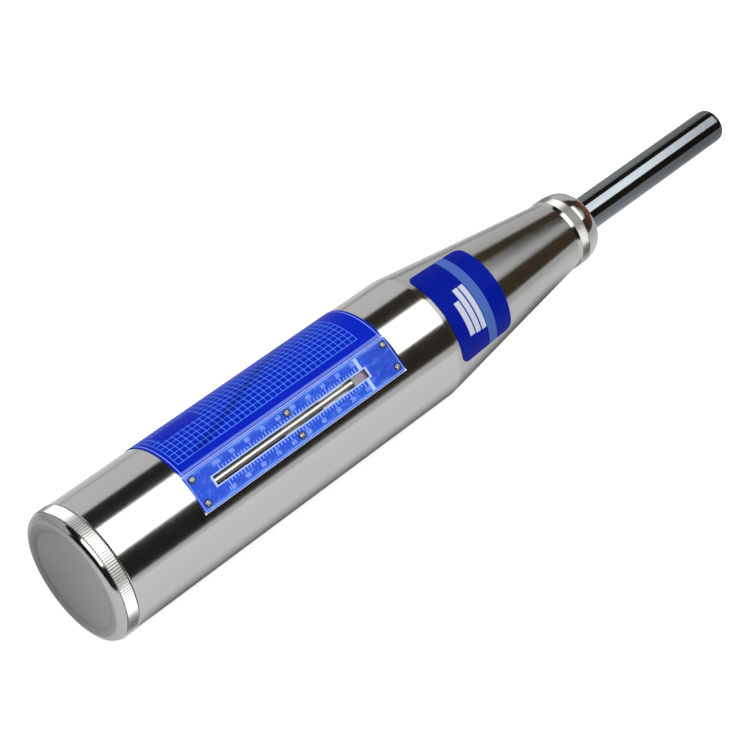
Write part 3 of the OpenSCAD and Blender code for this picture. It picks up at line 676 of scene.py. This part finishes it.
def to_side(bm):
    """Turns a piece made along Z so that it points out of the side opposite the scale, at the button."""
    bmesh.ops.rotate(bm, cent=(0, 0, 0), matrix=Matrix.Rotation(-math.pi / 2, 3, "Y"), verts=bm.verts[:])
    bmesh.ops.translate(bm, vec=(0, 0, BUTTON_AT), verts=bm.verts[:])


def settle(bm, name, body, nodes, material):
    """Makes the finished object in the shared frame."""
    sharp = bpy.context.scene.hammer_body.sharp
    for face in bm.faces:
        face.smooth = True
    for edge in bm.edges:
        edge.smooth = len(edge.link_faces) == 2 and edge.calc_face_angle(0) < sharp
    bm.transform(LAY)
    obj = loose_object(bm, name)
    obj.data.materials.append(material)
    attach(obj, body)
    if nodes:
        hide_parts(*nodes)
    return obj


def lay_sheet(bm, place):
    """Writes each corner's station and distance across into the sheet's own coordinates."""
    sheet = bm.loops.layers.uv.new("sheet")
    for face in bm.faces:
        for loop in face.loops:
            loop[sheet].uv = place(loop.vert.co)


def drill(radius, depth, segments, middle):
    """A round cutter along Z."""
    bm = bmesh.new()
    bmesh.ops.create_cone(bm, cap_ends=True, segments=segments, radius1=radius, radius2=radius, depth=depth)
    bmesh.ops.translate(bm, vec=middle, verts=bm.verts[:])
    return bm


class HAMMER_OT_body_shell(bpy.types.Operator):
    """Turns the tube and cone and mills the flat, the pointer's channel and the button's hole"""

    bl_idname = "hammer.body_shell"
    bl_label = "Body shell"

    def execute(self, context):
        sizes = context.scene.hammer_body
        r = sizes.body_radius / MM
        bm = profile_spin(
            [
                (23.46, 8.15), (r - 0.3, 8.15), (r, 8.45), (r, TUBE_END - 0.3), (r, TUBE_END),
                (r - 0.3 * CONE_SLOPE, TUBE_END + 0.3), (15.5, CONE_FRONT), (14.0, CONE_FRONT),
                (14.0, 261.0), (12.56, 261.0), (12.56, 240.3), (14.75, 240.3), (22.0, 187.34),
                (22.0, 15.1), (23.46, 15.1),
            ],
            sizes.steps,
        )
        hole = drill(5.46, 20.0, 64, (0, 0, 30.0))
        to_side(hole)
        bm = carve(
            bm,
            [
                block((FLAT, 45.0), (-40.0, 40.0), (SHEET_REAR - 0.3, SHEET_FRONT + 0.3)),
                block((21.0, 45.0), (-3.05, 3.05), (49.9, 137.5)),
                hole,
            ],
        )
        metal = made("turned_body_metal", body_metal)
        settle(bm, "body_shell", "housing", ["housing"], metal)
        return {"FINISHED"}


class HAMMER_OT_tail_cap(bpy.types.Operator):
    """Turns the tail cap with its dished face and rolls the knurl round it"""

    bl_idname = "hammer.tail_cap"
    bl_label = "Tail cap"

    def execute(self, context):
        sizes = context.scene.hammer_body
        depth = sizes.dish_depth / MM
        slope_start, slope_width, shoulder_end = 20.1, 2.5, 2.55
        dish = []
        for r in (19.9, 20.2, 20.6, 21.0, 21.35, 21.7, 22.1, 22.6):
            part = max(0.0, min(1.0, (r - slope_start) / slope_width))
            dish.append((r, depth * (0.5 + 0.5 * math.cos(math.pi * part))))
        shoulder = [(r, shoulder_end - z) for r, z in quarter(26.7, 0.0, 23.0, shoulder_end, 16)]
        bm = profile_spin(
            [(0, depth), (9.0, depth)] + dish + shoulder[::-1]
            + [
                (26.7, 2.6), (26.35, 2.64), (26.35, 2.9), (26.6, 2.95), (26.6, 7.8), (23.4, 7.8),
                (23.4, 14.8), (20.5, 14.8), (20.5, 3.0), (6.0, 3.0), (6.0, 4.2), (2.56, 4.2),
                (2.56, 1.5), (0, 1.5),
            ],
            sizes.steps,
        )
        metal = made("tail_cap_metal", tail_cap_metal)
        settle(bm, "tail_cap_body", "housing", ["tail_cap"], metal)

        tooth = ((0, -0.5), (0, -0.44), (1, -0.07), (1, 0.07), (0, 0.44), (0, 0.5))
        bm = rolled_ring(RIM_R, sizes.tooth_height / MM, sizes.teeth, tooth, 2.8, 7.8)
        settle(bm, "tail_cap_knurl", "housing", [], metal)
        return {"FINISHED"}


class HAMMER_OT_nose_cap(bpy.types.Operator):
    """Turns the nose cap, rolls its fine knurl and fits its felt ring"""

    bl_idname = "hammer.nose_cap"
    bl_label = "Nose cap"

    def execute(self, context):
        sizes = context.scene.hammer_body
        crest, rear, front = 15.8, NOSE_REAR + 1.42, NOSE_REAR + 5.82
        bm = profile_spin(
            [
                (14.06, NOSE_REAR), (14.85, NOSE_REAR), (crest, NOSE_REAR + 1.3), (crest, NOSE_REAR + 1.38),
                (15.5, rear), (15.5, front), (crest, NOSE_REAR + 5.86),
            ]
            + quarter(crest, NOSE_REAR + 5.9, 12.7, NOSE_FRONT, 20)
            + [
                (7.8, NOSE_FRONT), (7.8, NOSE_FRONT - 3.0), (11.06, NOSE_FRONT - 3.0), (11.06, 263.36),
                (14.06, 263.36),
            ],
            sizes.steps,
        )
        metal = made("nose_cap_metal", nose_metal)
        settle(bm, "nose_cap_body", "housing", ["nose_cap"], metal)
        tooth = ((0, -0.5), (1, -0.04), (1, 0.04), (0, 0.5))
        bm = rolled_ring(crest, 0.22, sizes.nose_teeth, tooth, rear, front)
        settle(bm, "nose_cap_knurl", "housing", [], metal)
        bm = profile_spin(
            [(7.85, 263.7), (10.9, 263.7), (10.9, 266.6), (7.85, 266.6)],
            sizes.small_steps * 2, ease=0.5,
        )
        settle(bm, "felt_ring", "housing", ["felt_seal"], made("pressed_felt", felt_cloth))
        return {"FINISHED"}


class HAMMER_OT_plunger(bpy.types.Operator):
    """Turns the plunger with its collar, grease groove, chamfer and domed end"""

    bl_idname = "hammer.plunger"
    bl_label = "Plunger"

    def execute(self, context):
        sizes = context.scene.hammer_body
        reach = 25.0
        end = math.asin(7.1 / reach)
        turns = [end * i / 10 for i in range(1, 11)]
        dome = [(reach * math.sin(turn), LENGTH - reach * (1 - math.cos(turn))) for turn in turns]
        bm = profile_spin(
            [(0, LENGTH)] + dome
            + [
                (7.32, LENGTH - 1.4), (7.5, LENGTH - 2.7), (7.5, LENGTH - 3.0), (7.5, NOSE_FRONT + 0.3),
                (7.0, NOSE_FRONT + 0.3), (7.0, NOSE_FRONT - 0.9), (7.5, NOSE_FRONT - 0.9), (7.5, 253.2),
                (9.6, 253.2), (9.6, 249.2), (4.05, 249.2), (4.05, 300.0), (0, 300.0),
            ],
            sizes.steps // 2,
        )
        steel = made("plunger_steel", plunger_metal)
        settle(bm, "plunger_bar", "plunger", ["plunger"], steel)
        return {"FINISHED"}


class HAMMER_OT_scale(bpy.types.Operator):
    """Makes the scale plate with its slot, its printed figures and its six screws"""

    bl_idname = "hammer.scale_plate"
    bl_label = "Scale plate"

    def execute(self, context):
        bm = block((FLAT, PLATE_TOP), (-7.85, 7.85), (SHEET_REAR, SHEET_FRONT))
        corners = [e for e in bm.edges if abs(e.verts[0].co.x - e.verts[1].co.x) > 0.1]
        bmesh.ops.bevel(
            bm, geom=corners, offset=1.0, offset_type="OFFSET", segments=6, profile=0.5, affect="EDGES",
            clamp_overlap=True, material=-1,
        )
        bm = carve(bm, [block((20.0, 30.0), (-1.8, 1.8), (55.6, 132.2))])
        break_edges(bm, 0.05, math.radians(40), 2)
        lay_sheet(bm, lambda co: (co.z, co.y))
        blue = made("plate_print", plate_print)
        settle(bm, "scale_plate_sheet", "housing", ["scale_plate"], blue)
        self.figures(context)
        self.screws(context)
        return {"FINISHED"}

    def figures(self, context):
        height = context.scene.hammer_print.figure_height / MM
        cap_share, lift, aside, first, spacing = 0.7, 0.015, 5.35, 128.4, 7.6
        bm = bmesh.new()
        for i in range(10):
            curve = bpy.data.curves.new("figure", "FONT")
            curve.body = str(10 * (i + 1))
            curve.size = height / cap_share
            curve.align_x = "CENTER"
            curve.align_y = "CENTER"
            curve.resolution_u = 2
            text = bpy.data.objects.new("figure", curve)
            context.collection.objects.link(text)
            context.view_layer.update()
            mesh = bpy.data.meshes.new_from_object(text.evaluated_get(context.evaluated_depsgraph_get()))
            for y in (-aside, aside):
                placed = mesh.copy()
                at = (PLATE_TOP + lift, y, first - spacing * i)
                across = Matrix(((0, 0, 1), (0, -1, 0), (1, 0, 0))).to_4x4()
                placed.transform(Matrix.Translation(at) @ across)
                bm.from_mesh(placed)
                bpy.data.meshes.remove(placed)
            bpy.data.objects.remove(text)
            bpy.data.curves.remove(curve)
            bpy.data.meshes.remove(mesh)
        settle(bm, "scale_figures", "housing", [], made("pale_print", pale_print))

    def screws(self, context):
        bm = bmesh.new()
        profile = [(0, 0.0), (1.3, 0.0), (1.3, 0.12)] + quarter(1.3, 0.12, 0.55, 0.58, 5) + [(0, 0.6)]
        head = profile_spin(profile, 24)
        long, narrow, deep = (-1.05, 1.05), (-0.27, 0.27), (0.08, 1.0)
        head = carve(head, [block(long, narrow, deep), block(narrow, long, deep)])
        stamp = bpy.data.meshes.new("screw_head")
        head.to_mesh(stamp)
        head.free()
        turn = 0.4
        upright = Matrix.Rotation(math.pi / 2, 4, "Y")
        for z in SCREW_ROWS:
            for y in (-SCREW_ASIDE, SCREW_ASIDE):
                placed = stamp.copy()
                turn += 1.1
                at = Matrix.Translation((PLATE_TOP, y, z))
                placed.transform(at @ upright @ Matrix.Rotation(turn, 4, "Z"))
                bm.from_mesh(placed)
                bpy.data.meshes.remove(placed)
        bpy.data.meshes.remove(stamp)
        settle(
            bm, "plate_screws", "housing", ["scale_screws"],
            made("screw_steel", machined((0.24, 0.24, 0.25), 0.1)),
        )


class HAMMER_OT_labels(bpy.types.Operator):
    """Lays the printed chart round the tube and the label round the cone"""

    bl_idname = "hammer.labels"
    bl_label = "Printed labels"

    def execute(self, context):
        sizes = context.scene.hammer_body
        start, arc = math.radians(17.15), math.radians(118.29)
        inner, outer = TUBE_R + 0.06, TUBE_R + 0.21
        bm = profile_spin(
            [(inner, SHEET_REAR), (outer, SHEET_REAR), (outer, SHEET_FRONT), (inner, SHEET_FRONT)],
            sizes.steps // 3, angle=arc,
        )
        bmesh.ops.holes_fill(bm, edges=[e for e in bm.edges if e.is_boundary], sides=0)
        bmesh.ops.rotate(bm, cent=(0, 0, 0), matrix=Matrix.Rotation(-start - arc, 3, "Z"), verts=bm.verts[:])
        bmesh.ops.recalc_face_normals(bm, faces=bm.faces[:])
        lay_sheet(bm, lambda co: (co.z, -math.atan2(co.y, co.x) % (2 * math.pi) * TUBE_R))
        settle(bm, "chart_sheet", "housing", ["chart_label"], made("chart_print", chart_print))

        rear, front, half, strips = 174.5, 206.3, 22.1, 80
        bm = bmesh.new()
        bmesh.ops.create_grid(bm, x_segments=1, y_segments=1, size=0.5)
        bmesh.ops.scale(bm, vec=(2 * half, front - rear, 1.0), verts=bm.verts[:])
        bmesh.ops.bevel(
            bm, geom=bm.verts[:], offset=3.4, offset_type="OFFSET", segments=8, profile=0.5,
            affect="VERTICES", clamp_overlap=False, material=-1,
        )
        for i in range(1, strips):
            bmesh.ops.bisect_plane(
                bm, geom=bm.verts[:] + bm.edges[:] + bm.faces[:], dist=1e-4,
                plane_co=(half * (2 * i / strips - 1), 0, 0), plane_no=(1, 0, 0),
            )
        middle = (rear + front) / 2
        lay_sheet(bm, lambda co: (middle + co.y, co.x))
        for vert in bm.verts:
            at = middle + vert.co.y
            radius = outer - CONE_SLOPE * (at - TUBE_END)
            turn = vert.co.x / radius
            vert.co = (radius * math.cos(turn), radius * math.sin(turn), at)
        bmesh.ops.recalc_face_normals(bm, faces=bm.faces[:])
        if sum(f.normal.x for f in bm.faces) < 0:
            bmesh.ops.reverse_faces(bm, faces=bm.faces[:])
        bmesh.ops.solidify(bm, geom=bm.faces[:], thickness=0.14)
        settle(bm, "name_sheet", "housing", ["name_label"], made("name_print", name_print))
        return {"FINISHED"}


class HAMMER_OT_pointer(bpy.types.Operator):
    """Makes the pointer's rod and the rider with its index line"""

    bl_idname = "hammer.pointer"
    bl_label = "Pointer"

    def execute(self, context):
        steps = context.scene.hammer_body.small_steps
        rear, front = 46.8, 140.6
        bm = profile_spin(
            [(0, rear), (1.1, rear), (1.3, rear + 0.2), (1.3, front - 0.2), (1.1, front), (0, front)], steps
        )
        bmesh.ops.translate(bm, vec=(ROD_HEIGHT, 0, 0), verts=bm.verts[:])
        settle(
            bm, "pointer_rod_bar", "housing", ["pointer_rod"],
            made("rod_steel", rod_metal),
        )
        bm = block((22.1, 25.5), (-3.0, 3.0), (125.2, 137.2))
        break_edges(bm, 0.25, segments=3)
        bore = drill(1.35, 20.0, 32, (ROD_HEIGHT, 0, 131.2))
        index_line = block((25.3, 27.0), (-4.0, 4.0), (130.4, 130.8))
        bm = carve(bm, [bore, index_line])
        settle(
            bm, "pointer_rider_block", "pointer", ["pointer_rider"],
            made("rider_metal", rider_metal),
        )
        return {"FINISHED"}


class HAMMER_OT_lock_button(bpy.types.Operator):
    """Turns the lock button and the bush that guides it"""

    bl_idname = "hammer.lock_button"
    bl_label = "Lock button"

    def execute(self, context):
        steps = context.scene.hammer_body.small_steps
        dark = made("dark_steel", machined(colours().dark_steel, 0.24))
        top = 31.08
        bm = profile_spin(
            [
                (0, 22.25), (2.6, 22.25), (3.0, 22.65), (3.0, 27.0), (4.0, 27.0), (4.0, 29.4), (3.85, 29.5),
                (3.85, 29.8), (4.0, 29.9),
            ]
            + quarter(4.0, 30.5, 3.4, top, 6)
            + [(2.5, top), (2.4, top - 0.1), (2.1, top - 0.1), (2.0, top), (0, top)],
            steps,
        )
        to_side(bm)
        settle(bm, "lock_button_head", "button", ["lock_button"], dark)
        bm = profile_spin(
            [(3.05, 22.1), (5.4, 22.1), (5.4, 27.9), (4.05, 27.9), (4.05, 23.4), (3.05, 23.4)],
            steps, ease=0.2,
        )
        to_side(bm)
        settle(
            bm, "button_bush_ring", "housing", ["button_bush"],
            made("inner_steel", machined(colours().inner_steel, 0.22)),
        )
        return {"FINISHED"}


class HAMMER_OT_springs(bpy.types.Operator):
    """Winds the five coil springs"""

    bl_idname = "hammer.springs"
    bl_label = "Coil springs"

    def execute(self, context):
        wire = made("spring_wire", machined((0.34, 0.34, 0.36), 0.2))
        tail = LAY @ Vector((0, 0, TAIL_FLOOR))
        seat = LAY @ Vector((0, 0, 236.2))
        floor = LAY @ Vector((-23.4, 0, BUTTON_AT))
        out = (LAY.to_3x3() @ Vector((-1, 0, 0))).normalized()
        coil = self.wind(33.0, 1.6, TAIL_FLOOR, 93.45, 9)
        obj = settle(coil, "return_coil", "housing", ["compression_spring"], wire)
        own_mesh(obj)
        coil = self.wind(28.0, 1.6, 140.85, 236.19, 12)
        obj = settle(coil, "impact_coil", "housing", ["impact_spring"], wire)
        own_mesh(obj)
        coil = self.wind(6.0, 0.9, 275.05, 299.95, 7)
        obj = settle(coil, "buffer_coil", "plunger", ["buffer_spring"], wire)
        LAY @ Vector((0, 0, 299.95))
        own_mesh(obj)
        coil = self.wind(7.2, 0.3, 23.41, 26.99, 3)
        to_side(coil)
        obj = settle(coil, "button_coil", "housing", ["button_spring"], wire)
        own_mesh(obj)
        coil = self.wind(2.4, 0.5, 4.95, 10.5, 4)
        across = Matrix.Rotation(-math.pi / 2, 3, "X")
        bmesh.ops.rotate(coil, cent=(0, 0, 0), matrix=across, verts=coil.verts[:])
        bmesh.ops.translate(coil, vec=(0, 0, 95.0), verts=coil.verts[:])
        obj = settle(coil, "pawl_coil", "carriage", ["pawl_spring"], wire)
        inner = LAY @ Vector((0, 4.95, 95.0))
        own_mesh(obj)
        return {"FINISHED"}

    def wind(self, diameter, wire, start, end, turns):
        """A round wire wound along the axis between two stations."""
        bm = bmesh.new()
        ring = bmesh.ops.create_circle(bm, cap_ends=False, segments=10, radius=wire / 2)["verts"]
        bmesh.ops.rotate(bm, cent=(0, 0, 0), matrix=Matrix.Rotation(math.pi / 2, 3, "X"), verts=ring)
        bmesh.ops.translate(bm, vec=(diameter / 2, 0, start + wire / 2), verts=ring)
        steps = turns * 32
        rise = (end - start - wire) / steps
        bmesh.ops.spin(
            bm, geom=bm.verts[:] + bm.edges[:], cent=(0, 0, 0), axis=(0, 0, 1), dvec=(0, 0, rise),
            angle=2 * math.pi * turns, steps=steps,
        )
        bmesh.ops.holes_fill(bm, edges=[e for e in bm.edges if e.is_boundary], sides=0)
        bmesh.ops.recalc_face_normals(bm, faces=bm.faces[:])
        return bm


class HAMMER_OT_inner_parts(bpy.types.Operator):
    """Gives the inner parts of the frame their finishes"""

    bl_idname = "hammer.inner_parts"
    bl_label = "Inner parts"

    def execute(self, context):
        steel = made("inner_steel", machined(colours().inner_steel, 0.22))
        dark = made("dark_steel", machined(colours().dark_steel, 0.24))
        bronze = made("bush_bronze", machined(colours().bronze, 0.25))
        finishes = {
            "trip_screw": dark, "trip_lock_nut": steel, "plunger_bush": bronze, "spring_seat": steel,
            "clamp_rings": steel, "guide_rod": steel, "guide_flange": steel, "pawl_pin": dark, "pawl": dark,
            "hammer_mass": steel, "pointer_leaf": steel,
        }
        for node, finish in finishes.items():
            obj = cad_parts[node]
            obj.data.materials.clear()
            obj.data.materials.append(finish)
        return {"FINISHED"}


class HAMMER_OT_stage(bpy.types.Operator):
    """Sets the floor, the cards, the softbox, the world and the camera"""

    bl_idname = "hammer.stage"
    bl_label = "Stage"

    def execute(self, context):
        sizes = context.scene.hammer_stage
        context.scene.view_settings.view_transform = "Standard"
        span, below = sizes.floor_size, Matrix.Translation((0, 0, -0.0002))
        self.card("floor", span, span, below, made("floor", self.floor_paint))
        width, depth, near, high = 3.45, 2.11, -0.795, 2.0
        behind = Matrix.Translation((0.6, 1.6, 0.915)) @ Matrix.Rotation(math.pi / 2, 4, "X")
        self.card("back_card", 7.0, 1.83, behind, made("back_card", self.back_glow), seen=False)
        side = Matrix.Translation((2.475, near, high)) @ Matrix.Rotation(math.pi, 4, "X")
        self.card("side_card", 1.85, depth, side, made("side_card", self.side_glow), seen=False)

        lamp = bpy.data.lights.new("softbox", "AREA")
        lamp.shape = "RECTANGLE"
        lamp.size = width
        lamp.size_y = depth
        lamp.energy = sizes.softbox * math.pi * width * depth
        box = bpy.data.objects.new("softbox", lamp)
        box.location = (-0.175, near, high)
        context.collection.objects.link(box)

        self.world(context)
        camera = bpy.data.cameras.new("camera")
        camera.lens = sizes.lens
        camera.sensor_width = 36.0
        camera.sensor_fit = "HORIZONTAL"
        camera.clip_start = 0.01
        eye = bpy.data.objects.new("camera", camera)
        right, up, back = (0.70226, -0.71185, 0.00134), (0.50457, 0.49895, 0.7046), (-0.5021, -0.4941, 0.7096)
        turn = Matrix((right, up, back)).transposed().to_4x4()
        eye.matrix_world = Matrix.Translation((-0.27231 - LENGTH / 2 * MM, -0.41794, 0.62152)) @ turn
        context.collection.objects.link(eye)
        context.scene.camera = eye
        return {"FINISHED"}

    def card(self, name, width, depth, place, material, seen=True):
        """A flat rectangle of the stage; an unseen one only lights and is reflected."""
        bm = bmesh.new()
        bmesh.ops.create_grid(bm, x_segments=1, y_segments=1, size=0.5)
        bmesh.ops.scale(bm, vec=(width, depth, 1.0), verts=bm.verts[:])
        bm.transform(place)
        obj = loose_object(bm, name)
        obj.data.materials.append(material)
        obj.visible_camera = seen
        if not seen:
            obj.visible_shadow = False

    def floor_paint(self, f):
        """White to the camera but for the hammer's shadow, graded in what the metal reflects, with a painted
        shadow under the hammer.
        """
        camera, glossy, through = f.rays("Camera", "Glossy", "Transmission")
        grain = f.noise(f.place(), 400.0, 3.0, 0.6)
        paint = f.tint(0.98 + grain * 0.04, (0.82, 0.82, 0.82))
        plain = f.node("ShaderNodeBsdfDiffuse", {}, {"Color": paint})
        x, y, _ = f.split(f.place())
        level = f.fade(y, -0.05, 0.25, 1.0, 0.78) * f.fade(x, -1.4, -0.25, 0.6, 1.0)
        level = level * f.fade(x, 0.1, 0.2, 1.0, 0.7)
        # painted shadow: the floor that the metal reflects is darkened under the hammer
        under = f.inside(y, -0.029, 0.029, 0.013) * f.inside(x, -0.165, 0.085, 0.015)
        level = camera | level * (1 - under * 0.75)
        white = f.glow(camera * 0.6 + level * 0.16)
        lit = f.node("ShaderNodeBsdfDiffuse", {}, {"Color": f.tint(level * 0.6, WHITE)})
        seen = f.node("ShaderNodeAddShader", {}, {0: white, 1: lit})
        f.node_output(f.node("ShaderNodeMixShader", {}, {0: camera | glossy | through, 1: plain, 2: seen}))

    def back_glow(self, f):
        """A card behind the hammer, a little dimmer past its tip."""
        x, _, _ = f.split(f.place())
        f.node_output(f.glow(f.fade(x, 1.3, 2.2, 0.75, 0.66)))

    def side_glow(self, f):
        """The softbox's hot end and a dim card past it, as the cone and the plunger reflect them."""
        x, y, _ = f.split(f.place())
        end = x - y * y * 0.2
        hot = f.fade(end, 1.9, 2.06, 3.8, 0.0)
        dim = f.fade(y, -1.15, 0.28, 0.68, 0.03) * f.fade(end, 1.98, 2.1) * f.fade(x, 2.4, 3.2, 1.0, 0.8)
        f.node_output(f.glow(hot + dim))

    def world(self, context):
        """White to the camera, a dim room to the metal."""
        world = bpy.data.worlds.new("studio")
        world.use_nodes = True
        context.scene.world = world
        f = Finish(world.node_tree)
        camera, glossy = f.rays("Camera", "Glossy")
        x, y, z = f.split(f.node("ShaderNodeTexCoord", {}, {}, "Generated"))
        room = f.mix(f.fade(x, 0.35, 0.8), (0.014, 0.014, 0.014), (0.062, 0.045, 0.026))
        room = f.mix(f.fade(x, 0.86, 0.95) * f.fade(z, 0.0, 0.15), room, (0.30, 0.075, 0.025))
        rise = f.fade(z, 0.03, 0.08, 1.0, 0.0) * f.fade(y, -0.84, -0.74, 1.0, 0.0)
        room = f.mix(rise, room, (0.8, 0.8, 0.8))
        shade = f.mix(glossy, (0.32, 0.32, 0.33), room)
        shade = f.mix(camera, shade, WHITE)
        sky = f.node("ShaderNodeBackground", {}, {"Color": shade, "Strength": 1.0})
        f.node_output(sky, "ShaderNodeOutputWorld")


PIECES = (
    HAMMER_OT_body_shell, HAMMER_OT_tail_cap, HAMMER_OT_nose_cap, HAMMER_OT_plunger, HAMMER_OT_scale,
    HAMMER_OT_labels, HAMMER_OT_pointer, HAMMER_OT_lock_button, HAMMER_OT_springs, HAMMER_OT_inner_parts,
    HAMMER_OT_stage,
)


class HAMMER_PT_pieces(bpy.types.Panel):
    """Lists the pieces of the hammer and their sizes"""

    bl_idname = "HAMMER_PT_pieces"
    bl_label = "Concrete test hammer"
    bl_space_type = "VIEW_3D"
    bl_region_type = "UI"
    bl_category = "Hammer"

    def draw(self, context):
        for piece in PIECES:
            self.layout.operator(piece.bl_idname)
        for key in GROUPS:
            group = getattr(context.scene, key)
            column = self.layout.column(align=True)
            for name in group.__annotations__:
                column.prop(group, name)


CLASSES = (BodySizes, PrintSizes, Colours, StageSizes) + PIECES + (HAMMER_PT_pieces,)
GROUPS = {
    "hammer_body": BodySizes,
    "hammer_print": PrintSizes,
    "hammer_colours": Colours,
    "hammer_stage": StageSizes,
}


def register():
    for cls in CLASSES:
        bpy.utils.register_class(cls)
    for name, group in GROUPS.items():
        setattr(bpy.types.Scene, name, PointerProperty(type=group))


def unregister():
    for name in GROUPS:
        delattr(bpy.types.Scene, name)
    for cls in reversed(CLASSES):
        bpy.utils.unregister_class(cls)


def main():
    register()
    for piece in PIECES:
        group, name = piece.bl_idname.split(".")
        getattr(getattr(bpy.ops, group), name)()


if __name__ == "__main__":
    main()
